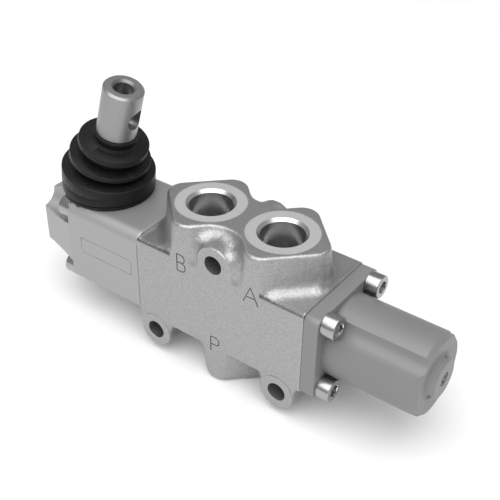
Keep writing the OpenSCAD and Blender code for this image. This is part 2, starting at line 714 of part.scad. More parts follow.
module return_spring() {
    steps = spring_turns * coil_steps;
    points = [for (k = [0 : steps]) each spring_ring(k / coil_steps)];
    color("slategray") lift() polyhedron(points, skin(steps + 1, spring_sides), convexity = 12);
}

module inner_spring_seat() {
    x1 = inner_seat_x;
    step_r = spring_r - spring_wire - 4 * seat_gap;
    color("silver") lift() turned([[screw_r + hole_gap, x1], [spring_seat_r, x1],
        [spring_seat_r, x1 + spring_seat_t], [step_r, x1 + spring_seat_t], [step_r, head_seat_x],
        [screw_r + hole_gap, head_seat_x]]);
}

module outer_spring_seat() {
    x2 = cavity_end_x - seat_gap;
    color("silver") lift() turned([[0, stop_x], [stop_post_r - 0.5, stop_x], [stop_post_r, stop_x + 0.5],
        [stop_post_r, x2 - outer_seat_t], [spring_seat_r, x2 - outer_seat_t], [spring_seat_r, x2], [0, x2]]);
}

valve_body();
spool();
spool_seal_lever_side();
spool_seal_cap_side();
seal_retainer_lever_side();
seal_retainer_cap_side();
spool_wiper();
lever_housing();
housing_screws();
housing_o_ring();
lever();
pivot_bush();
pivot_pin();
pivot_washers();
lever_boot();
spring_cap();
cap_screws();
cap_o_ring();
return_spring();
inner_spring_seat();
outer_spring_seat();
spool_end_screw();
vent_plug();
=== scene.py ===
"""Looks of a lever-operated monoblock control valve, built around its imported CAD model.

Lengths in the classes are millimetres in the model's own frame: the origin is the mouth of the
pressure port, +X runs along the spool to the spring cap and +Z to the work ports. A finished
piece is scaled to metres once, and its place stays in its mesh.
"""

import json
import logging
import math
from dataclasses import dataclass
from enum import Enum
from functools import cache
from typing import Callable, Iterable, Iterator, Sequence

import bpy
from mathutils import Matrix, Vector
from mathutils.geometry import intersect_point_line


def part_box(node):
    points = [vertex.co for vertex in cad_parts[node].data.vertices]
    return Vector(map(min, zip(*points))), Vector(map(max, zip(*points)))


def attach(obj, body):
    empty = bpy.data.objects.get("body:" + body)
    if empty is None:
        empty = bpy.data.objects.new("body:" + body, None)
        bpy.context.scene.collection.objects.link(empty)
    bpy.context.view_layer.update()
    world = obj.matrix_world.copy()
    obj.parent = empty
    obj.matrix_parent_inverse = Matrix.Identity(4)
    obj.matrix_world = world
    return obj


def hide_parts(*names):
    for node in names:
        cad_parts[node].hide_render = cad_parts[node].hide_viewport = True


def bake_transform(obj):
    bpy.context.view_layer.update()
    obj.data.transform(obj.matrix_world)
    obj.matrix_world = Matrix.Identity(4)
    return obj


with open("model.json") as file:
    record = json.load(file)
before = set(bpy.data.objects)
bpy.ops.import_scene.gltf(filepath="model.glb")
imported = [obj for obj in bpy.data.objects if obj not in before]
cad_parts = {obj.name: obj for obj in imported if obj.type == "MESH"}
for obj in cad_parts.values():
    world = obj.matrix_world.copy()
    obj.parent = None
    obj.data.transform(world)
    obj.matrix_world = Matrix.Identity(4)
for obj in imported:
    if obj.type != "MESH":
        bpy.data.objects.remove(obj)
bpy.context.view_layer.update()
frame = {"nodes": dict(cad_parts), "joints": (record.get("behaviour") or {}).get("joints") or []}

MM = 0.001
OVER = 1.0
FAR = 200.0
QUARTER = math.pi / 2

log = logging.getLogger("control_valve")

Point = tuple[float, float, float]
Profile = Sequence[tuple[float, float]]
Outline = list[tuple[float, float]]


class Cut(Enum):
    """What a boolean tool does to the piece it is used on."""

    AWAY = "DIFFERENCE"
    ADD = "UNION"
    KEEP = "INTERSECT"


class Body(Enum):
    """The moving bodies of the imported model."""

    VALVE = "valve"
    LEVER = "lever"
    SPOOL = "spool"


class Bench:
    """The workbench: Blender's own tools, each used with nothing else selected."""

    @staticmethod
    def clear() -> None:
        """Leaves edit mode and deselects everything."""
        if bpy.context.mode != "OBJECT":
            bpy.ops.object.mode_set(mode="OBJECT")
        bpy.ops.object.select_all(action="DESELECT")

    @staticmethod
    def pick(piece: bpy.types.Object) -> None:
        """Selects one piece and makes it the active one."""
        Bench.clear()
        piece.select_set(True)
        bpy.context.view_layer.objects.active = piece

    @staticmethod
    def place(name: str, data: bpy.types.ID) -> bpy.types.Object:
        """Puts a mesh, a light or a camera into the scene as a new object."""
        made = bpy.data.objects.new(name, data)
        bpy.context.scene.collection.objects.link(made)
        return made

    @staticmethod
    def apply(piece: bpy.types.Object, kind: str, **settings: object) -> None:
        """Puts a modifier with its settings on a piece and applies it."""
        modifier = piece.modifiers.new(kind, kind)
        for key, value in settings.items():
            setattr(modifier, key, value)
        Bench.pick(piece)
        bpy.ops.object.modifier_apply(modifier=modifier.name)

    @staticmethod
    def edit(piece: bpy.types.Object, everything: bool = False) -> None:
        """Opens a piece in edit mode with nothing selected in it, or all of it."""
        Bench.pick(piece)
        bpy.ops.object.mode_set(mode="EDIT")
        bpy.ops.mesh.select_mode(type="VERT")
        bpy.ops.mesh.select_all(action="SELECT" if everything else "DESELECT")

    @staticmethod
    def settle(piece: bpy.types.Object) -> bpy.types.Object:
        """Moves a piece's place, turn and scale into its mesh."""
        Bench.pick(piece)
        bpy.ops.object.transform_apply(location=True, rotation=True, scale=True)
        return piece

    @staticmethod
    def select(
        piece: bpy.types.Object, kind: str, test: Callable[[Vector, Vector], bool]
    ) -> None:
        """Selects the faces or vertices of a piece that pass a test, ready for edit mode.

        Args:
            piece: the mesh object, which is in object mode.
            kind: "FACE" or "VERT".
            test: takes a face's centre or a vertex's place, and its normal.
        """
        Bench.edit(piece)
        bpy.ops.mesh.select_mode(type=kind)
        bpy.ops.object.mode_set(mode="OBJECT")
        if kind == "FACE":
            for face in piece.data.polygons:
                face.select = test(face.center, face.normal)
        if kind == "VERT":
            for vertex in piece.data.vertices:
                vertex.select = test(vertex.co, vertex.normal)
        bpy.ops.object.mode_set(mode="EDIT")

    @staticmethod
    def block(name: str, low: Point, high: Point) -> bpy.types.Object:
        """Adds a box between two corners.

        Args:
            name: the new object's name.
            low: the lowest corner.
            high: the highest corner.

        Returns:
            The box, with its place in its mesh.
        """
        Bench.clear()
        middle = [(a + b) / 2 for a, b in zip(low, high)]
        size = [b - a for a, b in zip(low, high)]
        bpy.ops.mesh.primitive_cube_add(size=1, location=middle, scale=size)
        piece = bpy.context.active_object
        piece.name = name
        return Bench.settle(piece)

    @staticmethod
    def bar(name: str, low: Point, high: Point, r: float, rim: float = 0) -> bpy.types.Object:
        """Adds a bar along X with its four long edges rounded.

        Args:
            name: the new object's name.
            low: the lowest corner.
            high: the highest corner.
            r: the radius of the long edges.
            rim: the width of a fine bevel round both ends, where there is one.

        Returns:
            The bar, with its place in its mesh.
        """
        piece = Bench.block(name, low, high)
        Bench.edit(piece)
        bpy.ops.mesh.select_mode(type="EDGE")
        bpy.ops.object.mode_set(mode="OBJECT")
        points = piece.data.vertices
        for edge in piece.data.edges:
            a, b = (points[k].co for k in edge.vertices)
            edge.select = abs(a.x - b.x) > 1
        bpy.ops.object.mode_set(mode="EDIT")
        bpy.ops.mesh.bevel(offset=r, segments=10, affect="EDGES")
        if rim:
            Bench.select(piece, "FACE", lambda _, normal: abs(normal.x) > 0.99)
            bpy.ops.mesh.bevel(offset=rim, segments=2, affect="EDGES")
        Bench.clear()
        return piece

    @staticmethod
    def rod(
        name: str, start: Point, end: Point, r: float, r_end: float | None = None, sides: int = 72
    ) -> bpy.types.Object:
        """Adds a round rod or a cone between two points.

        Args:
            name: the new object's name.
            start: the middle of the first end.
            end: the middle of the second end.
            r: the radius at the start.
            r_end: the radius at the end, where it differs.
            sides: the number of sides.

        Returns:
            The rod, with its place in its mesh.
        """
        Bench.clear()
        a, b = Vector(start), Vector(end)
        bpy.ops.mesh.primitive_cone_add(
            vertices=sides,
            radius1=r,
            radius2=r if r_end is None else r_end,
            depth=(b - a).length,
            location=(a + b) / 2,
            rotation=(b - a).to_track_quat("Z", "Y").to_euler(),
        )
        piece = bpy.context.active_object
        piece.name = name
        return Bench.settle(piece)

    @staticmethod
    def lathe(name: str, profile: Profile, steps: int = 96, closed: bool = True) -> bpy.types.Object:
        """Spins a profile round the Z axis.

        Args:
            name: the new object's name.
            profile: [radius, height] points, from one end of the outline to the other.
            steps: the number of steps of the turn.
            closed: True where the outline is a loop that doesn't touch the axis.

        Returns:
            The closed, turned shape with its faces pointing outwards.
        """
        Bench.clear()
        bpy.ops.mesh.primitive_plane_add(size=1)
        piece = bpy.context.active_object
        piece.name = name
        Bench.select(piece, "VERT", lambda co, _: co.x > 0 or co.y > 0)
        bpy.ops.mesh.delete(type="VERT")
        bpy.ops.mesh.select_all(action="SELECT")
        first, *others = [Vector((r, 0, z)) for r, z in profile]
        corner = Vector((-0.5, -0.5, 0))
        bpy.ops.transform.translate(value=first - corner)
        at = first
        for point in others + ([first] if closed else []):
            bpy.ops.mesh.extrude_vertices_move(TRANSFORM_OT_translate={"value": point - at})
            at = point
        bpy.ops.mesh.select_all(action="SELECT")
        bpy.ops.mesh.remove_doubles(threshold=1e-4)
        bpy.ops.mesh.spin(steps=steps, angle=2 * math.pi, center=(0, 0, 0), axis=(0, 0, 1))
        bpy.ops.mesh.select_all(action="SELECT")
        bpy.ops.mesh.remove_doubles(threshold=1e-3)
        bpy.ops.mesh.normals_make_consistent(inside=False)
        Bench.clear()
        return piece

    @staticmethod
    def along_x(piece: bpy.types.Object, height: float) -> bpy.types.Object:
        """Lays a piece that was turned round Z down along +X, with its axis at a height."""
        piece.rotation_euler.y = QUARTER
        Bench.settle(piece)
        piece.location.z = height
        return Bench.settle(piece)

    @staticmethod
    def boolean(
        piece: bpy.types.Object, tool: bpy.types.Object, cut: Cut = Cut.AWAY, exact: bool = False
    ) -> None:
        """Cuts with a tool, or joins it on, and throws the tool away."""
        solver = "EXACT" if exact else "MANIFOLD"
        Bench.apply(piece, "BOOLEAN", object=tool, operation=cut.value, solver=solver)
        bpy.data.objects.remove(tool)

    @staticmethod
    def join(name: str, parts: Sequence[bpy.types.Object]) -> bpy.types.Object:
        """Joins parts into one object, each as a shell of its own."""
        Bench.pick(parts[0])
        for part in parts:
            part.select_set(True)
        bpy.ops.object.join()
        parts[0].name = name
        return parts[0]

    @staticmethod
    def copy(piece: bpy.types.Object, name: str) -> bpy.types.Object:
        """Copies a piece with a mesh of its own."""
        return Bench.place(name, piece.data.copy())

    @staticmethod
    def remesh(piece: bpy.types.Object, voxel: float) -> None:
        """Melts a piece's shells into one skin of even squares."""
        Bench.apply(piece, "REMESH", mode="VOXEL", voxel_size=voxel)

    @staticmethod
    def swell(piece: bpy.types.Object, distance: float) -> None:
        """Moves the skin out along its normals, or in where the distance is negative."""
        Bench.apply(piece, "DISPLACE", mid_level=0, strength=distance)

    @staticmethod
    def relax(
        piece: bpy.types.Object, passes: int, where: Callable[[Vector, Vector], bool] | None = None
    ) -> None:
        """Evens out the skin, which rounds its edges.

        Args:
            piece: the mesh object.
            passes: how often each point moves towards its neighbours.
            where: takes a point's place and normal, and is True where the skin is evened out.
        """
        group = ""
        if where:
            Bench.select(piece, "VERT", where)
            bpy.ops.object.vertex_group_assign_new()
            group = piece.vertex_groups[-1].name
        Bench.apply(piece, "SMOOTH", factor=0.5, iterations=passes, vertex_group=group)
        piece.vertex_groups.clear()

    @staticmethod
    def round_corners(piece: bpy.types.Object, r: float, segments: int) -> None:
        """Rounds all corners of a flat outline."""
        Bench.edit(piece, everything=True)
        bpy.ops.mesh.bevel(offset=r, segments=segments, affect="VERTICES")
        Bench.clear()

    @staticmethod
    def smooth(piece: bpy.types.Object, degrees: float = 35) -> None:
        """Shades a piece smooth, apart from its sharp edges."""
        Bench.pick(piece)
        bpy.ops.object.shade_smooth_by_angle(angle=math.radians(degrees))

    @staticmethod
    def finish(piece: bpy.types.Object, body: Body | None, slot: str | None = None) -> bpy.types.Object:
        """Scales a piece from millimetres to metres and lets it ride on its body.

        Args:
            piece: the finished mesh object.
            body: the body it moves with, or None where it rides on none.
            slot: the record's material slot; not used.

        Returns:
            The same piece.
        """
        piece.scale = (MM, MM, MM)
        Bench.settle(piece)
        if body is not None:
            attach(piece, body.value)
        log.info("%s: %d faces", piece.name, len(piece.data.polygons))
        return piece


def arc(cx: float, cz: float, r: float, start: float, end: float, steps: int = 4) -> Outline:
    """Points of an arc in a profile, with its angles in degrees from the radius direction."""
    angles = [math.radians(start + (end - start) * k / steps) for k in range(steps + 1)]
    return [(cx + r * math.cos(a), cz + r * math.sin(a)) for a in angles]


# Shader effects that several finishes use


class Effect:
    """A shader node group with named inputs and outputs, built once."""

    name = ""
    inputs: dict[str, float] = {}
    outputs: dict[str, str] = {}

    def __init__(self) -> None:
        """Makes the group with its sockets, then its nodes."""
        self.group = bpy.data.node_groups.new(self.name, "ShaderNodeTree")
        for label, value in self.inputs.items():
            socket = self.group.interface.new_socket(label, in_out="INPUT", socket_type="NodeSocketFloat")
            socket.default_value = value
        for label, kind in self.outputs.items():
            self.group.interface.new_socket(label, in_out="OUTPUT", socket_type=f"NodeSocket{kind}")
        self.source = self.group.nodes.new("NodeGroupInput")
        self.target = self.group.nodes.new("NodeGroupOutput")
        self.coordinates = self.group.nodes.new("ShaderNodeTexCoord")
        self.build()

    def build(self) -> None:
        """Builds the group's own nodes."""
        raise NotImplementedError

    def add(self, kind: str, **settings: object) -> bpy.types.Node:
        """Adds a node with some of its settings."""
        node = self.group.nodes.new(f"ShaderNode{kind}")
        for key, value in settings.items():
            setattr(node, key, value)
        return node

    def link(self, a: bpy.types.NodeSocket, b: bpy.types.NodeSocket) -> None:
        """Links an output to an input."""
        self.group.links.new(a, b)

    def math(self, operation: str, *values: object) -> bpy.types.NodeSocket:
        """Adds a Math node whose inputs are sockets or numbers."""
        node = self.add("Math", operation=operation)
        for k, value in enumerate(values):
            if isinstance(value, bpy.types.NodeSocket):
                self.link(value, node.inputs[k])
            else:
                node.inputs[k].default_value = value
        return node.outputs[0]

    def noise(self, scale: object, detail: float, stretch: Point = (1, 1, 1)) -> bpy.types.NodeSocket:
        """Adds a noise on the object's own coordinates, and returns its value."""
        mapping = self.add("Mapping")
        mapping.inputs["Scale"].default_value = stretch
        self.link(self.coordinates.outputs["Object"], mapping.inputs["Vector"])
        node = self.add("TexNoise")
        node.inputs["Detail"].default_value = detail
        self.link(mapping.outputs["Vector"], node.inputs["Vector"])
        if isinstance(scale, bpy.types.NodeSocket):
            self.link(scale, node.inputs["Scale"])
        else:
            node.inputs["Scale"].default_value = scale
        return node.outputs["Fac"]


class SandGrain(Effect):
    """The sand's print on a casting: a fine height and dark specks."""

    name = "sand_grain"
    inputs = {"Scale": 1400.0, "Speck scale": 2600.0}
    outputs = {"Height": "Float", "Specks": "Float"}

    def build(self) -> None:
        """Two noises, one for the height and one cut to specks."""
        scale = self.source.outputs["Scale"]
        fine = self.noise(scale, 4)
        coarse = self.noise(self.math("MULTIPLY", scale, 0.28), 3)
        height = self.math("ADD", self.math("MULTIPLY", fine, 0.6), self.math("MULTIPLY", coarse, 0.9))
        self.link(height, self.target.inputs["Height"])
        specks = self.noise(self.source.outputs["Speck scale"], 2)
        cut = self.add("MapRange", interpolation_type="SMOOTHSTEP")
        cut.inputs["From Min"].default_value = 0.36
        cut.inputs["From Max"].default_value = 0.58
        self.link(specks, cut.inputs["Value"])
        self.link(cut.outputs["Result"], self.target.inputs["Specks"])


class EdgeWearAndSheen(Effect):
    """Where a surface is convex and lightened, part wear and part painted highlight, or hollow and darkened
    as painted shade.
    """

    name = "edge_wear_and_sheen"
    inputs = {"Reach": 0.06}
    outputs = {"Edges": "Float", "Hollow shade": "Float"}

    def build(self) -> None:
        """Reads how pointed the surface is and widens it by the reach."""
        pointed = self.add("NewGeometry").outputs["Pointiness"]
        reach = self.source.outputs["Reach"]
        for label, start, sign in (("Edges", 0.505, 1), ("Hollow shade", 0.495, -1)):
            grade = self.add("MapRange", interpolation_type="SMOOTHSTEP")
            grade.inputs["From Min"].default_value = start
            end = self.math("ADD" if sign > 0 else "SUBTRACT", start, reach)
            self.link(end, grade.inputs["From Max"])
            self.link(pointed, grade.inputs["Value"])
            self.link(grade.outputs["Result"], self.target.inputs[label])


class CutterLines(Effect):
    """Fine lines that a cutter leaves along one direction."""

    name = "cutter_lines"
    inputs = {"Scale": 900.0}
    outputs = {"Height": "Float", "Tone": "Float"}

    def build(self) -> None:
        """A noise that is drawn out across the lines, with a broad one for the tone."""
        scale = self.source.outputs["Scale"]
        self.link(self.noise(scale, 3, (0.12, 1, 1)), self.target.inputs["Height"])
        self.link(self.noise(self.math("MULTIPLY", scale, 0.06), 2), self.target.inputs["Tone"])


class EdgeDarkLine(Effect):
    """A dark grainy line along X, at one long edge of the casting."""

    name = "edge_dark_line"
    inputs = {"Y": 0.0, "Z": 0.0, "Reach": 0.0012}
    outputs = {"Mask": "Float"}

    def build(self) -> None:
        """Distance from the line in Y and Z, broken up by a fine noise."""
        split = self.add("SeparateXYZ")
        self.link(self.coordinates.outputs["Object"], split.inputs[0])
        off = [self.math("SUBTRACT", split.outputs[axis], self.source.outputs[axis]) for axis in "YZ"]
        squares = [self.math("MULTIPLY", value, value) for value in off]
        distance = self.math("SQRT", self.math("ADD", *squares))
        near = self.math("SUBTRACT", 1, self.math("DIVIDE", distance, self.source.outputs["Reach"]))
        ends = self.math("GREATER_THAN", self.math("ABSOLUTE", split.outputs["X"]), 0.0225)
        grain = self.math("MULTIPLY", self.noise(1800, 3), 2.6)
        mask = self.math("MULTIPLY", self.math("MAXIMUM", near, 0), self.math("MULTIPLY", grain, ends))
        self.link(self.math("MINIMUM", mask, 1), self.target.inputs["Mask"])


class TurningRings(Effect):
    """Rings that a lathe tool leaves round an axis through the piece."""

    name = "turning_rings"
    inputs = {"Scale": 900.0, "X": 0.0, "Y": 0.0, "Z": 0.0}
    outputs = {"Height": "Float"}

    def build(self) -> None:
        """Distance from the point on the axis, as a fine wave."""
        centre = self.add("CombineXYZ")
        for axis in "XYZ":
            self.link(self.source.outputs[axis], centre.inputs[axis])
        distance = self.add("VectorMath", operation="DISTANCE")
        self.link(self.coordinates.outputs["Object"], distance.inputs[0])
        self.link(centre.outputs[0], distance.inputs[1])
        phase = self.math("MULTIPLY", distance.outputs["Value"], self.source.outputs["Scale"])
        self.link(self.math("SINE", phase), self.target.inputs["Height"])


@cache
def group_of(kind: type[Effect]) -> bpy.types.NodeTree:
    """The node group of an effect, made when the first finish asks for it."""
    return kind().group


class Paint:
    """A material with a Principled shader, and the links that a finish makes in it."""

    def __init__(self, name: str, colour: float, roughness: float, metallic: float) -> None:
        """Makes the material with its plain values on the shader's own sockets."""
        self.material = bpy.data.materials.new(name)
        self.material.use_nodes = True
        self.tree = self.material.node_tree
        self.shader = self.tree.nodes["Principled BSDF"]
        self.shader.inputs["Base Color"].default_value = (colour, colour, colour, 1)
        self.shader.inputs["Roughness"].default_value = roughness
        self.shader.inputs["Metallic"].default_value = metallic

    def effect(self, kind: type[Effect], **values: float) -> bpy.types.Node:
        """Places an effect's group in the material, with this finish's own values."""
        node = self.tree.nodes.new("ShaderNodeGroup")
        node.node_tree = group_of(kind)
        for label, value in values.items():
            node.inputs[label.replace("_", " ")].default_value = value
        return node

    def grade(self, mask: bpy.types.NodeSocket, low: float, high: float) -> bpy.types.NodeSocket:
        """Turns a mask from 0 to 1 into a value from low to high."""
        node = self.tree.nodes.new("ShaderNodeMapRange")
        node.inputs["To Min"].default_value = low
        node.inputs["To Max"].default_value = high
        self.tree.links.new(mask, node.inputs["Value"])
        return node.outputs["Result"]

    def mix(
        self, mask: bpy.types.NodeSocket, under: object, over: Sequence[float], share: float = 1
    ) -> bpy.types.NodeSocket:
        """Lays one colour over another where a mask says so.

        Args:
            mask: how much of the upper colour shows, from 0 to 1.
            under: the lower colour, a socket or three numbers.
            over: the upper colour.
            share: the most of the upper colour that shows.

        Returns:
            The mixed colour's socket.
        """
        node = self.tree.nodes.new("ShaderNodeMix")
        node.data_type = "RGBA"
        self.tree.links.new(self.grade(mask, 0, share), node.inputs["Factor"])
        if isinstance(under, bpy.types.NodeSocket):
            self.tree.links.new(under, node.inputs["A"])
        else:
            node.inputs["A"].default_value = (*under, 1)
        node.inputs["B"].default_value = (*over, 1)
        return node.outputs["Result"]

    def to(self, socket: bpy.types.NodeSocket, name: str) -> None:
        """Links a value to one of the shader's inputs."""
        self.tree.links.new(socket, self.shader.inputs[name])

    def roughen(self, mask: bpy.types.NodeSocket, roughness: float, low: float, high: float) -> None:
        """Lets the roughness vary with a mask, from low to high about its plain value."""
        self.to(self.grade(mask, roughness + low, roughness + high), "Roughness")

    def bump(self, height: bpy.types.NodeSocket, distance: float, strength: float = 1) -> None:
        """Adds a bump, over what bump the shader already has."""
        node = self.tree.nodes.new("ShaderNodeBump")
        node.inputs["Distance"].default_value = distance
        node.inputs["Strength"].default_value = strength
        self.tree.links.new(height, node.inputs["Height"])
        before = self.shader.inputs["Normal"].links
        if before:
            self.tree.links.new(before[0].from_socket, node.inputs["Normal"])
        self.tree.links.new(node.outputs["Normal"], self.shader.inputs["Normal"])


def grey(value: float, warmth: float = 0) -> tuple[float, float, float]:
    """A grey, a little warmer or cooler where asked."""
    return (value * (1 + warmth), value, value * (1 - warmth))


@dataclass(frozen=True)
class CastSkin:
    """Sand-cast iron: a grainy light grey skin with dark specks, edges lightened as part wear and part
    painted highlight, and a dark grainy line along its top front edge.
    """

    name: str = "cast_skin"
    tone: float = 0.41
    dark: float = 0.31
    # The colour of the lightened edges: part wear, part painted highlight.
    bright: float = 0.6
    roughness: float = 0.42
    grain: float = 0.00026
    scale: float = 1500
    dent: float = 0.00018
    dark_line_edge: tuple[float, float] = (-0.0217, 0.0566)

    def material(self) -> bpy.types.Material:
        """Builds the finish."""
        paint = Paint(self.name, self.tone, self.roughness, 0.95)
        sand = paint.effect(SandGrain, Scale=self.scale)
        wear_and_sheen = paint.effect(EdgeWearAndSheen, Reach=0.05)
        colour = paint.mix(sand.outputs["Specks"], grey(self.dark), grey(self.tone))
        # Convex edges lightened: part wear, part painted highlight.
        colour = paint.mix(wear_and_sheen.outputs["Edges"], colour, grey(self.bright), 0.3)
        # Darkens a grainy line along the block's top front edge.
        dark_line = paint.effect(EdgeDarkLine, Y=self.dark_line_edge[0], Z=self.dark_line_edge[1])
        colour = paint.mix(dark_line.outputs["Mask"], colour, grey(0.08), 0.85)
        paint.to(colour, "Base Color")
        paint.roughen(sand.outputs["Specks"], self.roughness, 0.1, 0)
        paint.bump(sand.outputs["Height"], self.grain, 0.7)
        dents = paint.effect(SandGrain, Scale=420)
        paint.bump(dents.outputs["Height"], self.dent, 0.6)
        return paint.material


@dataclass(frozen=True)
class MilledFace:
    """A machined flat: bright, with fine cutter lines and a faint cast grain left in it."""

    name: str = "milled_face"
    tone: float = 0.56
    roughness: float = 0.4
    metallic: float = 0.5

    def material(self) -> bpy.types.Material:
        """Builds the finish."""
        paint = Paint(self.name, self.tone, self.roughness, self.metallic)
        lines = paint.effect(CutterLines, Scale=900)
        sand = paint.effect(SandGrain, Scale=2200, Speck_scale=3800)
        colour = paint.mix(sand.outputs["Specks"], grey(self.tone * 0.82), grey(self.tone))
        paint.to(colour, "Base Color")
        paint.roughen(lines.outputs["Tone"], self.roughness, -0.05, 0.06)
        paint.bump(lines.outputs["Height"], 0.00004, 0.5)
        paint.bump(sand.outputs["Height"], 0.00005, 0.4)
        return paint.material


@dataclass(frozen=True)
class TurnedMetal:
    """Bored or turned metal with fine rings and cutter lines."""

    name: str
    tone: float
    roughness: float = 0.28
    centre: Point = (0, 0, 0)
    ring_scale: float = 9000
    metallic: float = 1.0
    warmth: float = 0

    def material(self) -> bpy.types.Material:
        """Builds the finish."""
        paint = Paint(self.name, self.tone, self.roughness, self.metallic)
        x, y, z = (c * MM for c in self.centre)
        rings = paint.effect(TurningRings, Scale=self.ring_scale, X=x, Y=y, Z=z)
        lines = paint.effect(CutterLines, Scale=500)
        low, high = grey(self.tone * 0.88, self.warmth), grey(self.tone * 1.08, self.warmth)
        paint.to(paint.mix(lines.outputs["Tone"], low, high), "Base Color")
        paint.roughen(lines.outputs["Tone"], self.roughness, -0.05, 0.07)
        paint.bump(rings.outputs["Height"], 0.000006, 0.5)
        return paint.material


@dataclass(frozen=True)
class DieCast:
    """Die-cast aluminium: smooth and dull, with a faint flow pattern and edges lightened, part wear and part
    painted highlight.
    """

    name: str
    tone: float
    roughness: float = 0.45
    metallic: float = 0.5

    def material(self) -> bpy.types.Material:
        """Builds the finish."""
        paint = Paint(self.name, self.tone, self.roughness, self.metallic)
        flow = paint.effect(CutterLines, Scale=240)
        sand = paint.effect(SandGrain, Scale=2600, Speck_scale=5200)
        wear_and_sheen = paint.effect(EdgeWearAndSheen, Reach=0.08)
        colour = paint.mix(flow.outputs["Tone"], grey(self.tone * 0.93), grey(self.tone * 1.06))
        # Convex edges lightened: part wear, part painted highlight.
        colour = paint.mix(wear_and_sheen.outputs["Edges"], colour, grey(min(1, self.tone * 1.5)), 0.2)
        paint.to(colour, "Base Color")
        paint.roughen(flow.outputs["Tone"], self.roughness, -0.04, 0.05)
        paint.bump(sand.outputs["Height"], 0.00003, 0.5)
        return paint.material


@dataclass(frozen=True)
class Moulded:
    """Moulded black rubber with a satin skin, and its convex fold edges lightened, part dust and part painted
    highlight.
    """

    name: str
    tone: float = 0.006
    roughness: float = 0.42

    def material(self) -> bpy.types.Material:
        """Builds the finish."""
        paint = Paint(self.name, self.tone, self.roughness, 0)
        paint.shader.inputs["Specular IOR Level"].default_value = 0.22
        sand = paint.effect(SandGrain, Scale=1800, Speck_scale=900)
        wear_and_sheen = paint.effect(EdgeWearAndSheen, Reach=0.1)
        colour = paint.mix(sand.outputs["Specks"], grey(self.tone * 0.8), grey(self.tone * 1.15))
        # Convex fold edges lightened: part dust, part painted highlight.
        colour = paint.mix(wear_and_sheen.outputs["Edges"], colour, grey(self.tone * 2.6), 0.7)
        paint.to(colour, "Base Color")
        paint.roughen(sand.outputs["Specks"], self.roughness, -0.06, 0.08)
        paint.bump(sand.outputs["Height"], 0.00003, 0.35)
        return paint.material


@dataclass(frozen=True)
class Finishes:
    """Every finish of the valve, made once."""

    cast: bpy.types.Material
    milled: bpy.types.Material
    faced: bpy.types.Material
    bore: bpy.types.Material
    drilled: bpy.types.Material
    engraved: bpy.types.Material
    housing: bpy.types.Material
    cap: bpy.types.Material
    plug: bpy.types.Material
    lever: bpy.types.Material
    lever_bore: bpy.types.Material
    zinc: bpy.types.Material
    socket: bpy.types.Material
    steel: bpy.types.Material
    bronze: bpy.types.Material
    seal: bpy.types.Material
    boot: bpy.types.Material

    @classmethod
    def make(cls) -> "Finishes":
        """Builds every material."""
        return cls(
            cast=CastSkin().material(),
            milled=MilledFace().material(),
            faced=MilledFace("faced_lug", 0.4, 0.45, 0.9).material(),
            bore=TurnedMetal("bored_iron", 0.56, 0.28).material(),
            drilled=TurnedMetal("drilled_iron", 0.4, 0.5).material(),
            # Near black, for the grooves of the port marks.
            engraved=DieCast("engraved_line", 0.04, 0.6, 0.3).material(),
            housing=DieCast("die_cast_housing", 0.35, 0.42).material(),
            cap=DieCast("die_cast_cap", 0.195, 0.45, 0.15).material(),
            plug=TurnedMetal("plug_metal", 0.12, 0.4).material(),
            lever=TurnedMetal("lever_steel", 0.29, 0.3, metallic=0.75).material(),
            # A darker copy of the lever steel for the bore and cross hole: its lower tone is painted shade.
            lever_bore=TurnedMetal("lever_bore", 0.2, 0.35, metallic=0.7).material(),
            zinc=TurnedMetal("bright_zinc", 0.38, 0.24).material(),
            # A brighter copy of the zinc steel for the hex socket: its extra brightness is painted light in
            # the recess.
            socket=TurnedMetal("socket_painted_light", 0.7, 0.16).material(),
            steel=TurnedMetal("ground_steel", 0.5, 0.26).material(),
            bronze=TurnedMetal("bearing_bronze", 0.3, 0.35, warmth=0.5).material(),
            seal=Moulded("seal_rubber", 0.02, 0.45).material(),
            boot=Moulded("boot_rubber").material(),
        )


@dataclass(frozen=True)
class Layout:
    """Where the main forms stand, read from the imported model."""

    block_x: tuple[float, float]
    half_w: float
    spool_z: float
    pad_z: float
    housing_x: tuple[float, float]
    housing_half_w: float
    cap_x: tuple[float, float]
    lever_pivot: Point
    boot_foot_z: float

    @classmethod
    def read(cls) -> "Layout":
        """Takes the sizes from the nodes and the lever's joint."""
        nodes = ("valve_body", "housing_o_ring", "lever_housing", "spring_cap", "lever_boot")
        boxes = [[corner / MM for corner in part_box(node)] for node in nodes]
        (low, high), (ring_low, ring_high), (house_low, house_high), (cap_low, cap_high), boot = boxes
        hinge = next(j for j in frame["joints"] if j["name"] == "lever_tilt")
        return cls(
            block_x=(low.x, high.x),
            half_w=high.y,
            spool_z=(ring_low.z + ring_high.z) / 2,
            pad_z=high.z,
            housing_x=(house_low.x, house_high.x),
            housing_half_w=round(house_high.y, 3),
            cap_x=(cap_low.x, cap_high.x),
            lever_pivot=tuple(c / MM for c in hinge["pos_m"]),
            boot_foot_z=boot[0].z,
        )


def dress(piece: bpy.types.Object, material: bpy.types.Material) -> None:
    """Gives a piece one material all over."""
    piece.data.materials.clear()
    piece.data.materials.append(material)
    for face in piece.data.polygons:
        face.material_index = 0


def paint_faces(
    piece: bpy.types.Object, material: bpy.types.Material, test: Callable[[Vector, Vector], bool]
) -> None:
    """Gives a further material to the faces that pass a test of centre and normal."""
    piece.data.materials.append(material)
    index = len(piece.data.materials) - 1
    for face in piece.data.polygons:
        if test(face.center, face.normal):
            face.material_index = index


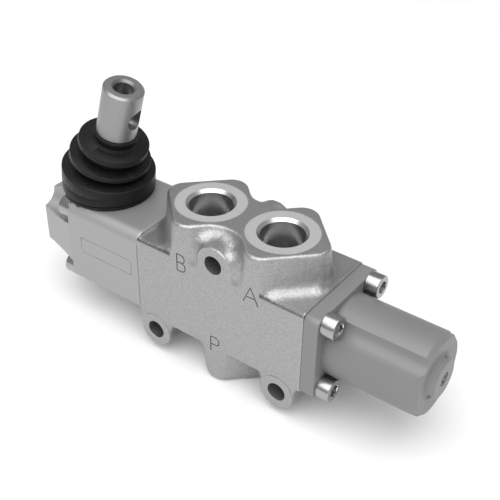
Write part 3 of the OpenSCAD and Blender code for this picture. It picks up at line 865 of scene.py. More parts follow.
@dataclass
class CastBlock:
    """The cast block with its pads, lugs, ports, galleries and engraved port marks."""

    plan: Layout
    looks: Finishes
    block_half_h: float = 19.9
    port_spacing: float = 36
    work_pad_half: float = 17.2
    work_pad_corner: float = 7.2
    pressure_pad_half: float = 18
    pressure_pad_corner: float = 8
    draft: float = 5
    pad_edge_r: float = 1.2
    edge_r: float = 1.3
    fillet: float = 4.2
    lower_fillet: float = 2.6
    face_step: float = 0.15
    skin: float = 0.04
    waist_r: float = 14.5
    waist_half: float = 12
    port_r: float = 9.32
    port_depth: float = 16
    port_bevel: float = 1.3
    spotface_r: float = 15.25
    spotface_depth: float = 0.3
    passage_r: float = 7.5
    gallery_r: float = 12
    gallery_w: float = 8
    spool_bore_r: float = 8.02
    pocket_r: float = 12.5
    pocket_depth: float = 7.6
    hole_r: float = 4.25
    hole_chamfer: float = 0.12
    mouth_bevel: float = 0.6
    drill_cone: float = 1
    overlap: float = 1.5
    ring_depth: float = 2
    lug_spacing: float = 64.8
    lug_drop: float = 25.6
    lug_r: float = 8.1
    tube_rise: float = 24.1
    tube_r: float = 8.2
    voxel: float = 0.56
    line_w: float = 0.58
    relax_passes: int = 3
    flow_passes: int = 40
    flow_half: float = 16
    flow_depth: float = 8
    near: float = 0.02

    def port_column(
        self, name: str, x: float, half: float, corner: float, top: float, foot: float
    ) -> bpy.types.Object:
        """Draws a port's rounded square pad and extrudes it with draft to its foot.

        Args:
            name: the column's name.
            x: the place of its axis along the spool.
            half: half of the pad across its flats.
            corner: the pad's corner radius.
            top: the height of the pad.
            foot: the height where the column ends, inside the block.

        Returns:
            The closed column.
        """
        Bench.clear()
        bpy.ops.mesh.primitive_plane_add(size=2 * half, location=(x, 0, top), rotation=(0, 0, QUARTER / 2))
        piece = Bench.settle(bpy.context.active_object)
        piece.name = name
        Bench.round_corners(piece, corner, 8)
        depth = foot - top
        share = (half + abs(depth) * math.tan(math.radians(self.draft))) / half
        Bench.edit(piece, everything=True)
        bpy.ops.mesh.extrude_region_move(TRANSFORM_OT_translate={"value": (0, 0, depth)})
        bpy.ops.transform.resize(value=(share, share, 1), center_override=(x, 0, foot))
        bpy.ops.mesh.select_all(action="SELECT")
        bpy.ops.mesh.normals_make_consistent(inside=False)
        Bench.select(piece, "FACE", lambda centre, _: abs(centre.z - top) < 0.01)
        bpy.ops.mesh.bevel(offset=self.pad_edge_r, segments=3, affect="EDGES")
        Bench.clear()
        return piece

    def waist(self) -> bpy.types.Object:
        """The web between the two work pads, hollowed by an arc on each side."""
        z = self.plan.spool_z
        reach = self.waist_half + self.waist_r
        half_l = self.waist_r * math.sin(math.pi / 4) + 0.5
        top = self.plan.pad_z - self.skin
        half_w = reach - self.waist_r / 2
        piece = Bench.block("waist", (-half_l, -half_w, z), (half_l, half_w, top))
        for side in (-1, 1):
            at = side * reach
            Bench.boolean(piece, Bench.rod("arc", (0, at, z - OVER), (0, at, top + OVER), self.waist_r))
        Bench.select(piece, "FACE", lambda centre, _: centre.z > top - 0.01)
        bpy.ops.mesh.bevel(offset=self.pad_edge_r, segments=3, affect="EDGES")
        Bench.clear()
        return piece

    def filleted(self, forms: Sequence[bpy.types.Object], r: float) -> bpy.types.Object:
        """Melts copies of the forms together and fills every hollow corner with a foundry fillet.

        Args:
            forms: the closed forms, which stay as they are.
            r: the fillets' radius.

        Returns:
            The melted body, a hair inside the forms where they are flat.
        """
        piece = Bench.join("filleted", [Bench.copy(form, "melt") for form in forms])
        for move in (r, -r - self.skin):
            Bench.remesh(piece, self.voxel * 1.35)
            Bench.swell(piece, move)
        return piece

    def casting(self) -> bpy.types.Object:
        """The raw casting: its forms with foundry fillets between them, and its faces left as cast."""
        z, top, reach = self.plan.spool_z, self.plan.pad_z - self.skin, self.plan.half_w - self.face_step
        x1, x2 = self.plan.block_x
        h = self.block_half_h
        slab = Bench.bar("slab", (x1, -reach, z - h), (x2, reach, z + h), self.edge_r)
        upper, lower = [self.waist()], []
        for side in (-1, 1):
            x = side * self.port_spacing / 2
            upper.append(self.port_column("work_column", x, self.work_pad_half, self.work_pad_corner, top, z))
            x = side * self.lug_spacing / 2
            foot = z - self.lug_drop
            lower.append(Bench.rod("lug", (x, -reach, foot), (x, reach, foot), self.lug_r))
            low, high = (x - self.lug_r, -reach, foot), (x + self.lug_r, reach, z - h + OVER)
            lower.append(Bench.block("lug_web", low, high))
        half, corner = self.pressure_pad_half, self.pressure_pad_corner
        lower.append(self.port_column("pressure_column", 0, half, corner, self.skin, z))
        for column in (*upper[1:], lower[-1]):
            Bench.boolean(column, Bench.block("faces", (x1, -reach, 0), (x2, reach, top + OVER)), Cut.KEEP)
        tube_z = z + self.tube_rise
        upper.append(Bench.rod("tube", (0, -reach, tube_z), (0, reach, tube_z), self.tube_r))
        melts = [self.filleted([slab, *upper], self.fillet), self.filleted([slab, *lower], self.lower_fillet)]
        piece = Bench.join("cast_block", [slab, *upper, *lower, *melts])
        Bench.remesh(piece, self.voxel)
        Bench.relax(piece, self.relax_passes)
        limit = self.flow_depth - reach
        under = z - h - 0.5
        Bench.relax(
            piece,
            self.flow_passes,
            lambda co, _: co.z < under and abs(co.x) < self.flow_half and co.y < limit,
        )
        return piece

    def mill(self, piece: bpy.types.Object) -> None:
        """Faces both ends, sets the proud rings of the lugs and sinks the ports' round faces."""
        x1, x2 = self.plan.block_x
        w = self.plan.half_w
        for low, high in (((-FAR, -FAR, -FAR), (x1, FAR, FAR)), ((x2, -FAR, -FAR), (FAR, FAR, FAR))):
            Bench.boolean(piece, Bench.block("cutter", low, high))
        for x, hole_z in self.bolt_places()[1:]:
            for side in (-1, 1):
                start, end = (x, side * w, hole_z), (x, side * (w - self.ring_depth), hole_z)
                ring = Bench.rod("ring", start, end, self.lug_r - self.face_step, self.lug_r, 128)
                Bench.boolean(piece, ring, Cut.ADD)
        for side in (-1, 1):
            x, top = side * self.port_spacing / 2, self.plan.pad_z
            floor = top - self.spotface_depth
            tool = Bench.rod("spotface", (x, 0, floor), (x, 0, top + OVER), self.spotface_r, sides=160)
            Bench.boolean(piece, tool)

    def bolt_places(self) -> list[tuple[float, float]]:
        """Where the three bolt holes stand, as [x, z], the upper one first."""
        z = self.plan.spool_z
        return [(0, z + self.tube_rise)] + [(s * self.lug_spacing / 2, z - self.lug_drop) for s in (-1, 1)]

    def bore(self, piece: bpy.types.Object) -> None:
        """Bores the ports, their passages, the spool's bore with its galleries, and the bolt holes."""
        z, top = self.plan.spool_z, self.plan.pad_z
        x1, x2 = self.plan.block_x
        r, b = self.port_r, self.port_bevel
        floor = top - self.spotface_depth
        inner = self.gallery_r - self.overlap
        deep = top - self.port_depth
        for side in (-1, 1):
            profile = [(0, z + inner), (self.passage_r, z + inner), (self.passage_r, deep - self.drill_cone)]
            profile += [(r, deep), (r, floor - b), (r + b + OVER, floor + OVER), (0, floor + OVER)]
            tool = Bench.lathe("port", profile, 96, False)
            tool.location.x = side * self.port_spacing / 2
            Bench.boolean(piece, Bench.settle(tool))
        m, deep = self.mouth_bevel, self.port_depth
        profile = [(0, -OVER), (r + m, -OVER), (r + m, 0), (r, m), (r, deep)]
        profile += [(self.passage_r, deep + self.drill_cone), (self.passage_r, z - inner), (0, z - inner)]
        Bench.boolean(piece, Bench.lathe("pressure_port", profile, 96, False))
        s, g, p = self.spool_bore_r, self.gallery_r, self.pocket_r
        profile = [(0, x1 - OVER), (p, x1 - OVER), (p, x1 + self.pocket_depth), (s, x1 + self.pocket_depth)]
        for x in (-self.port_spacing / 2, 0, self.port_spacing / 2):
            a, c = x - self.gallery_w / 2, x + self.gallery_w / 2
            profile += [(s, a), (g, a), (g, c), (s, c)]
        profile += [(s, x2 - self.pocket_depth), (p, x2 - self.pocket_depth), (p, x2 + OVER), (0, x2 + OVER)]
        Bench.boolean(piece, Bench.along_x(Bench.lathe("spool_bore", profile, 96, False), z))
        w, r, c = self.plan.half_w, self.hole_r, self.hole_chamfer
        profile = [(0, -w - c), (r + 2 * c, -w - c), (r, c - w), (r, w - c), (r + 2 * c, w + c), (0, w + c)]
        for x, hole_z in self.bolt_places():
            tool = Bench.lathe("bolt_hole", profile, 96, False)
            tool.rotation_euler.x = QUARTER
            tool.location = (x, 0, hole_z)
            Bench.boolean(piece, Bench.settle(tool))

    @staticmethod
    def strokes() -> list[tuple[Vector, Vector]]:
        """The straight strokes of the plain letters A, B and P, as points of X and Z."""
        lines = [
            [(15.2, 51.0), (18.5, 58.8), (22.3, 51.0)],
            [(16.5, 53.9), (21.0, 53.9)],
            [(-18.7, 50.6), (-18.7, 58.9), (-16.7, 58.9)] + arc(-16.7, 56.9, 2, 90, -90, 8) + [(-18.7, 54.9)],
            [(-18.7, 50.6), (-16.5, 50.6)] + arc(-16.5, 52.75, 2.15, -90, 90, 8) + [(-18.7, 54.9)],
            [(-1.5, 15.9), (-1.5, 23.8), (0.9, 23.8)] + arc(0.9, 21.8, 2, 90, -90, 8) + [(-1.5, 19.8)],
        ]
        pairs = [(Vector(a), Vector(b)) for line in lines for a, b in zip(line, line[1:])]
        return [(a, b) for a, b in pairs if (b - a).length > 0.01]

    def port_marks(self, piece: bpy.types.Object) -> None:
        """Engraves the plain letters that mark the ports on the front face."""
        face = self.face_step - self.plan.half_w
        for a, b in self.strokes():
            tool = Bench.rod("stroke", (a.x, face, a.y), (b.x, face, b.y), self.line_w / 2, sides=10)
            Bench.boolean(piece, tool)

    def build(self) -> bpy.types.Object:
        """Builds, dresses and hands over the cast block."""
        piece = self.casting()
        self.mill(piece)
        self.bore(piece)
        self.port_marks(piece)
        Bench.smooth(piece, 32)
        self.paint(piece)
        Bench.finish(piece, Body.VALVE, "cast_body")
        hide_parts("valve_body")
        return piece

    def paint(self, piece: bpy.types.Object) -> None:
        """Gives the cast skin, the milled flats, the bores and the port marks their finishes."""
        x1, x2 = self.plan.block_x
        w, z, top = self.plan.half_w, self.plan.spool_z, self.plan.pad_z
        floor = top - self.spotface_depth

        def milled(c: Vector, n: Vector) -> bool:
            """True on a milled flat: an end or a port's round face."""
            ends = (c.x < x1 + self.near or c.x > x2 - self.near) and abs(n.x) > 0.99
            inside = math.hypot(abs(c.x) - self.port_spacing / 2, c.y) < self.spotface_r + 0.1
            return ends or (inside and abs(c.z - floor) < self.near and n.z > 0.99)

        def bored(c: Vector, n: Vector) -> bool:
            """True inside a port or the spool's bore."""
            if math.hypot(c.y, c.z - z) < self.pocket_r + 0.1 and x1 < c.x < x2:
                return True
            for x in (-self.port_spacing / 2, 0, self.port_spacing / 2):
                if math.hypot(c.x - x, c.y) < self.port_r + self.port_bevel and c.z < floor - self.near:
                    return True
            return False

        def drilled(c: Vector, n: Vector) -> bool:
            """True inside a bolt hole."""
            if abs(n.y) >= 0.5:
                return False
            reach = self.hole_r + self.near
            return any(math.hypot(c.x - x, c.z - at) < reach for x, at in self.bolt_places())

        marks = self.strokes()

        def engraved(c: Vector, n: Vector) -> bool:
            """True in a groove of a port mark."""
            face = self.face_step - w
            if not face + 0.03 < c.y < face + self.line_w or abs(n.y) > 0.98:
                return False
            at = Vector((c.x, c.z))
            for a, b in marks:
                near, share = intersect_point_line(at, a, b)
                near = a if share < 0 else b if share > 1 else near
                if (at - near).length < self.line_w / 2 + 0.01:
                    return True
            return False

        dress(piece, self.looks.cast)
        paint_faces(piece, self.looks.milled, milled)
        paint_faces(piece, self.looks.bore, bored)
        paint_faces(piece, self.looks.drilled, drilled)
        # The port marks' grooves are coloured near black.
        paint_faces(piece, self.looks.engraved, engraved)
        paint_faces(piece, self.looks.faced, lambda c, n: abs(c.y) > w - self.near and abs(n.y) > 0.99)


@dataclass
class LeverHousing:
    """The die-cast lever housing with its nose, collar, screw recesses and label frame."""

    plan: Layout
    looks: Finishes
    half_h: float = 20.7
    length: float = 41.1
    edge_r: float = 5.8
    nose_half_w: float = 16.35
    nose_half_h: float = 16.3
    nose_level_l: float = 6.8
    recess_r1: float = 6.65
    recess_r2: float = 7.6
    chamber_r: float = 9.5
    chamber_wall: float = 5.3
    collar_r: float = 17.9
    collar_h: float = 5.6
    collar_foot_r: float = 19.4
    collar_shift: float = 1.7
    collar_edge: float = 0.6
    slot_w: float = 21
    slot_l: float = 26
    pin_r: float = 2.55
    screw_y: float = 16.6
    screw_z: float = 15.8
    screw_hole_r: float = 3.15
    voxel: float = 0.5
    relax_passes: int = 3
    label: tuple[float, float, float, float] = (-75.0, -45.0, 35.5, 43.0)
    label_r: float = 1.5
    label_line: float = 0.6

    def shell(self) -> bpy.types.Object:
        """The rounded bar, cut to the nose's tapers, with the collar on it."""
        x1, x2 = self.plan.housing_x
        seat = x2 - self.length
        z, w, h = self.plan.spool_z, self.plan.housing_half_w, self.half_h
        piece = Bench.bar("lever_housing_shell", (x1, -w, z - h), (x2, w, z + h), self.edge_r)
        side = Vector((self.nose_half_w - w, seat - x1))
        level = seat - self.nose_level_l
        drop = Vector((self.nose_half_h - h, level - x1))
        for s in (-1, 1):
            for co, no in (
                ((seat, s * w, z), (side.x, s * side.y, 0)),
                ((level, 0, z + s * h), (drop.x, 0, s * drop.y)),
            ):
                Bench.edit(piece, everything=True)
                plane_no = Vector(no).normalized()
                bpy.ops.mesh.bisect(plane_co=co, plane_no=plane_no, use_fill=True, clear_outer=True)
                Bench.clear()
        x = self.plan.lever_pivot[0] + self.collar_shift
        foot = z + h
        rise = foot + self.collar_h
        r, e = self.collar_r, self.collar_edge
        profile = [(0, z), (self.collar_foot_r, z), (self.collar_foot_r, foot + 0.1), (r, foot + 0.4)]
        profile += [(r, rise - e), (r - e, rise), (0, rise)]
        collar = Bench.lathe("collar", profile, 96, False)
        collar.location.x = x
        Bench.boolean(piece, Bench.settle(collar), Cut.ADD)
        return piece

    def hollow(self, piece: bpy.types.Object) -> None:
        """Cuts the screw recesses, the chamber, the lever's slot and the holes."""
        x1, x2 = self.plan.housing_x
        seat = x2 - self.length
        z, h = self.plan.spool_z, self.half_h
        px, _, pz = self.plan.lever_pivot
        for sy in (-1, 1):
            for sz in (-1, 1):
                y, at = sy * self.screw_y, z + sz * self.screw_z
                taper = (self.recess_r2 - self.recess_r1) / (seat - x1)
                start = (x1 - OVER, y, at)
                tool = Bench.rod("recess", start, (seat, y, at), self.recess_r1 - taper, self.recess_r2, 96)
                Bench.boolean(piece, tool)
                start, end = (seat - OVER, y, at), (x2 + OVER, y, at)
                Bench.boolean(piece, Bench.rod("hole", start, end, self.screw_hole_r, sides=32))
        inner = x1 + self.chamber_wall
        Bench.boolean(piece, Bench.rod("chamber", (inner, 0, z), (x2 + OVER, 0, z), self.chamber_r))
        low = (px - self.slot_l / 2, -self.slot_w / 2, z)
        high = (px + self.slot_l / 2, self.slot_w / 2, z + h + self.collar_h + 2)
        Bench.boolean(piece, Bench.block("slot", low, high))
        reach = self.collar_foot_r + OVER
        Bench.boolean(piece, Bench.rod("pin_hole", (px, -reach, pz), (px, reach, pz), self.pin_r, sides=32))

    def frame_groove(self, piece: bpy.types.Object) -> None:
        """Sinks the plain rounded frame of the label into the front face."""
        x1, x2, z1, z2 = self.label
        y = -self.plan.housing_half_w
        r = self.label_r
        corners = (arc(x2 - r, z2 - r, r, 0, 90) + arc(x1 + r, z2 - r, r, 90, 180)
                   + arc(x1 + r, z1 + r, r, 180, 270) + arc(x2 - r, z1 + r, r, 270, 360))
        for start, end in zip(corners, corners[1:] + corners[:1]):
            if math.dist(start, end) > 0.01:
                a, b = (start[0], y, start[1]), (end[0], y, end[1])
                Bench.boolean(piece, Bench.rod("frame", a, b, self.label_line / 2, sides=8))

    def build(self) -> bpy.types.Object:
        """Builds, dresses and hands over the housing."""
        piece = self.shell()
        self.hollow(piece)
        Bench.remesh(piece, self.voxel)
        Bench.relax(piece, self.relax_passes)
        self.frame_groove(piece)
        Bench.smooth(piece, 30)
        joint_x = self.plan.housing_x[1]
        dress(piece, self.looks.housing)
        paint_faces(piece, self.looks.milled, lambda c, n: c.x > joint_x - 0.1 and n.x > 0.99)
        piece.name = "die_cast_lever_housing"
        Bench.finish(piece, Body.VALVE, "housing_alloy")
        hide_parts("lever_housing")
        return piece


@dataclass
class SpringCap:
    """The die-cast spring cap: square flange, scalloped cup, bevelled end and notched boss."""

    plan: Layout
    looks: Finishes
    flange_t: float = 6.5
    flange_corner: float = 3
    half_h: float = 19.9
    cup_r: float = 17.8
    bevel_l: float = 2.1
    end_r: float = 16
    boss_r1: float = 10.6
    boss_r2: float = 8
    boss_h: float = 2.7
    recess_r: float = 6.65
    screw_y: float = 16.1
    screw_z: float = 16.0
    cavity_r: float = 12.5
    wall: float = 4.8
    plug_r: float = 2.9
    plug_play: float = 0.12
    screw_hole_r: float = 3.15
    rim: float = 0.3
    notch_r: float = 1.8
    notch_lift: float = 0.6
    notch_angles: tuple[float, ...] = (76, 200, 316)

    def cutters(self) -> Iterator[bpy.types.Object]:
        """Adds the tools that cut the cap one by one: recesses, holes, notches and the cavity.

        Returns:
            The tools, each added only when the one before it has been used.
        """
        x1, boss_x = self.plan.cap_x
        z = self.plan.spool_z
        end = boss_x - self.boss_h
        seat = x1 + self.flange_t
        for sy in (-1, 1):
            for sz in (-1, 1):
                y, at = sy * self.screw_y, z + sz * self.screw_z
                yield Bench.rod("recess", (seat, y, at), (boss_x, y, at), self.recess_r, sides=96)
                start, reach = (x1 - OVER, y, at), (seat + OVER, y, at)
                yield Bench.rod("hole", start, reach, self.screw_hole_r, sides=32)
        foot = end + self.notch_lift
        for angle in self.notch_angles:
            a = math.radians(angle)
            y, at = self.boss_r1 * math.cos(a), z + self.boss_r1 * math.sin(a)
            yield Bench.rod("notch", (foot, y, at), (boss_x + OVER, y, at), self.notch_r, sides=32)
        inner = end - self.wall
        yield Bench.rod("cavity", (x1 - OVER, 0, z), (inner, 0, z), self.cavity_r, sides=96)
        start, reach = (inner - OVER, 0, z), (boss_x + OVER, 0, z)
        yield Bench.rod("plug_hole", start, reach, self.plug_r + self.plug_play, sides=48)

    def build(self) -> bpy.types.Object:
        """Builds, dresses and hands over the cap."""
        x1, boss_x = self.plan.cap_x
        z, w, h = self.plan.spool_z, self.plan.half_w, self.half_h
        low, high = (x1, -w, z - h), (x1 + self.flange_t, w, z + h)
        flange = Bench.bar("die_cast_spring_cap", low, high, self.flange_corner, self.rim)
        r, end = self.cup_r, boss_x - self.boss_h
        profile = [(0, x1 + OVER), (r, x1 + OVER), (r, end - self.bevel_l), (self.end_r, end)]
        profile += [(self.boss_r1, end), (self.boss_r2, boss_x), (0, boss_x)]
        cup = Bench.along_x(Bench.lathe("cup", profile, 144, False), z)
        Bench.boolean(flange, cup, Cut.ADD, exact=True)
        for tool in self.cutters():
            Bench.boolean(flange, tool, exact=True)
        Bench.smooth(flange, 30)
        dress(flange, self.looks.cap)
        Bench.finish(flange, Body.VALVE, "cap_alloy")
        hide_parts("spring_cap")
        return flange


@dataclass
class VentPlug:
    """The small plug in the cap's boss, with a rim groove and a dimple."""

    plan: Layout
    looks: Finishes
    r: float = 2.9
    length: float = 7.3
    sunk: float = 0.15
    edge: float = 0.3
    groove: tuple[float, ...] = (1.9, 1.7, 1.2, 1.0)
    groove_depth: float = 0.35

    def build(self) -> bpy.types.Object:
        """Turns, dresses and hands over the plug."""
        r, e = self.r, self.edge
        face = self.plan.cap_x[1] - self.sunk
        foot, floor = face - self.length, face - self.groove_depth
        r1, r2, r3, r4 = self.groove
        profile = [(0, foot), (r, foot), (r, face - e), (r - e, face)]
        profile += [(r1, face), (r2, floor), (r3, floor), (r4, face), (0, face)]
        piece = Bench.lathe("turned_vent_plug", profile, 48, False)
        Bench.along_x(piece, self.plan.spool_z)
        Bench.smooth(piece, 30)
        dress(piece, self.looks.plug)
        Bench.finish(piece, Body.VALVE, "plug_alloy")
        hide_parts("vent_plug")
        return piece


@dataclass
class SocketScrews:
    """Socket head cap screws, modelled once and copied to their places."""

    plan: Layout
    looks: Finishes
    thread_r: float = 2.75
    head_r: float = 5
    head_h: float = 6
    edge_r: float = 0.55
    socket_w: float = 5
    socket_depth: float = 3
    drill_r: float = 2.3
    drill_depth: float = 1.1
    mouth_r: float = 3
    mouth_depth: float = 0.35
    reach: float = 13
    spins: tuple[float, ...] = (0.15, 0.6, 0.95, 0.4)

    def screw(self, name: str, grip: float) -> bpy.types.Object:
        """A screw standing on its seat at the origin, with its head upwards.

        Args:
            name: the screw's name.
            grip: the thickness that it clamps.

        Returns:
            The screw, dressed in zinc, with its socket in a brighter copy whose extra brightness is painted
            light in the recess.
        """
        e, r, h = self.edge_r, self.head_r, self.head_h
        tip = -grip - self.reach
        profile = [(0, tip), (self.thread_r - 0.5, tip), (self.thread_r, tip + 0.5), (self.thread_r, 0)]
        profile += [(r - 0.2, 0), (r, 0.2)] + arc(r - e, h - e, e, 0, 90, 5) + [(r - 1.5, h), (0, h)]
        piece = Bench.lathe(name, profile, 64, False)
        across = self.socket_w / math.cos(math.radians(30)) / 2
        floor = h - self.socket_depth
        hexagon = Bench.rod("hexagon", (0, 0, floor), (0, 0, h + OVER), across, sides=6)
        Bench.boolean(piece, hexagon, exact=True)
        start, end = (0, 0, floor - self.drill_depth), (0, 0, floor + 0.1)
        Bench.boolean(piece, Bench.rod("drill", start, end, 0.05, self.drill_r, 32), exact=True)
        start, end = (0, 0, h - self.mouth_depth), (0, 0, h + 0.1)
        mouth = Bench.rod("mouth", start, end, self.socket_w / 2 + 0.05, self.mouth_r, 48)
        Bench.boolean(piece, mouth, exact=True)
        Bench.smooth(piece, 30)
        inside = across - 0.05
        dress(piece, self.looks.zinc)
        # The socket takes the brighter copy, as painted light.
        paint_faces(
            piece, self.looks.socket, lambda c, n: math.hypot(c.x, c.y) < inside and 0 < c.z < h - 0.02
        )
        return piece

    def set_of(
        self, name: str, node: str, x: float, y: float, z: float, way: int, grip: float
    ) -> bpy.types.Object:
        """Places four screws at the corners of a square and makes them one piece.

        Args:
            name: the piece's name.
            node: the CAD node that it stands for.
            x: the place of the screw seats.
            y: half of their spacing, front to back.
            z: half of their spacing, up and down.
            way: 1 where the heads point to +X, and -1 where they point to -X.
            grip: the thickness that they clamp.

        Returns:
            The four screws as one piece.
        """
        first = self.screw(name, grip)
        parts = []
        for k, (sy, sz) in enumerate(((-1, -1), (-1, 1), (1, -1), (1, 1))):
            part = Bench.copy(first, f"{name}_{k}")
            part.rotation_euler.z = self.spins[k]
            Bench.settle(part)
            part.rotation_euler.y = way * QUARTER
            part.location = (x, sy * y, self.plan.spool_z + sz * z)
            parts.append(Bench.settle(part))
        bpy.data.objects.remove(first)
        piece = Bench.join(name, parts)
        Bench.finish(piece, Body.VALVE, "zinc_steel")
        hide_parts(node)
        return piece

    def build(self) -> list[bpy.types.Object]:
        """Builds both sets of screws."""
        grip, cap_grip = LeverHousing.length, SpringCap.flange_t
        seat, cap_seat = self.plan.housing_x[1] - grip, self.plan.cap_x[0] + cap_grip
        y, z = LeverHousing.screw_y, LeverHousing.screw_z
        cap_y, cap_z = SpringCap.screw_y, SpringCap.screw_z
        return [
            self.set_of("socket_screws_housing", "housing_screws", seat, y, z, -1, grip),
            self.set_of("socket_screws_cap", "cap_screws", cap_seat, cap_y, cap_z, 1, cap_grip),
        ]


@dataclass
class HandLever:
    """The turned lever: bored head with a cross hole, shank, hub and ball arm."""

    plan: Layout
    looks: Finishes
    lean: float = 16
    length: float = 54.1
    head_r: float = 8.8
    head_l: float = 23.2
    edge: float = 1
    soft: float = 0.25
    shank_r: float = 6
    hub_r: float = 7.5
    hub_w: float = 17.6
    bush_r: float = 4.07
    arm_r: float = 3.2
    ball_r: float = 4.9
    drop: float = 22.3
    bore_r: float = 4.25
    bore_depth: float = 12
    cross_r: float = 4.6
    cross_drop: float = 12.7
    cross_turn: float = 8

    def build(self) -> bpy.types.Object:
        """Turns, bores, dresses and hands over the lever."""
        r, top, e = self.head_r, self.length, self.edge
        foot, soft = top - self.head_l, self.soft
        profile = [(0, 0), (self.shank_r, 0), (self.shank_r, foot), (r - soft, foot), (r, foot + soft)]
        profile += [(r, top - e - soft), (r - soft * 0.3, top - e + soft * 0.4)]
        profile += [(r - e + soft * 0.2, top - soft * 0.3), (r - e - soft, top), (0, top)]
        piece = Bench.lathe("turned_hand_lever", profile, 128, False)
        half = self.hub_w / 2
        Bench.boolean(piece, Bench.rod("hub", (0, -half, 0), (0, half, 0), self.hub_r, sides=96), Cut.ADD)
        Bench.boolean(piece, Bench.rod("arm", (0, 0, -self.drop), (0, 0, 1), self.arm_r, sides=48), Cut.ADD)
        Bench.clear()
        ball = (0, 0, -self.drop)
        bpy.ops.mesh.primitive_uv_sphere_add(segments=48, ring_count=24, radius=self.ball_r, location=ball)
        Bench.boolean(piece, Bench.settle(bpy.context.active_object), Cut.ADD)
        reach = half + OVER
        Bench.boolean(piece, Bench.rod("bush_seat", (0, -reach, 0), (0, reach, 0), self.bush_r, sides=64))
        b = self.bore_r
        profile = [(0, top - self.bore_depth), (b, top - self.bore_depth), (b, top - e)]
        profile += [(b + e, top), (b + e, top + OVER), (0, top + OVER)]
        Bench.boolean(piece, Bench.lathe("bore", profile, 96, False))
        a = math.radians(self.cross_turn)
        across = Vector((math.cos(a), math.sin(a), 0)) * (r + OVER)
        middle = Vector((0, 0, top - self.cross_drop))
        tool = Bench.rod("cross_hole", middle - across, middle + across, self.cross_r, sides=96)
        Bench.boolean(piece, tool)
        Bench.smooth(piece, 25)

        def inside(c: Vector, n: Vector) -> bool:
            """True in the head's bore or its cross hole."""
            inwards = c.x * n.x + c.y * n.y < 0.2 and n.z < 0.9
            return foot + 1 < c.z < top - 0.01 and math.hypot(c.x, c.y) < r - 0.1 and inwards

        dress(piece, self.looks.lever)
        # The bore and cross hole take the darker copy, as painted shade.
        paint_faces(piece, self.looks.lever_bore, inside)
        piece.rotation_euler.y = math.radians(self.lean)
        piece.location = self.plan.lever_pivot
        Bench.settle(piece)
        Bench.finish(piece, Body.LEVER, "lever_steel")
        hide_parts("lever")
        return piece


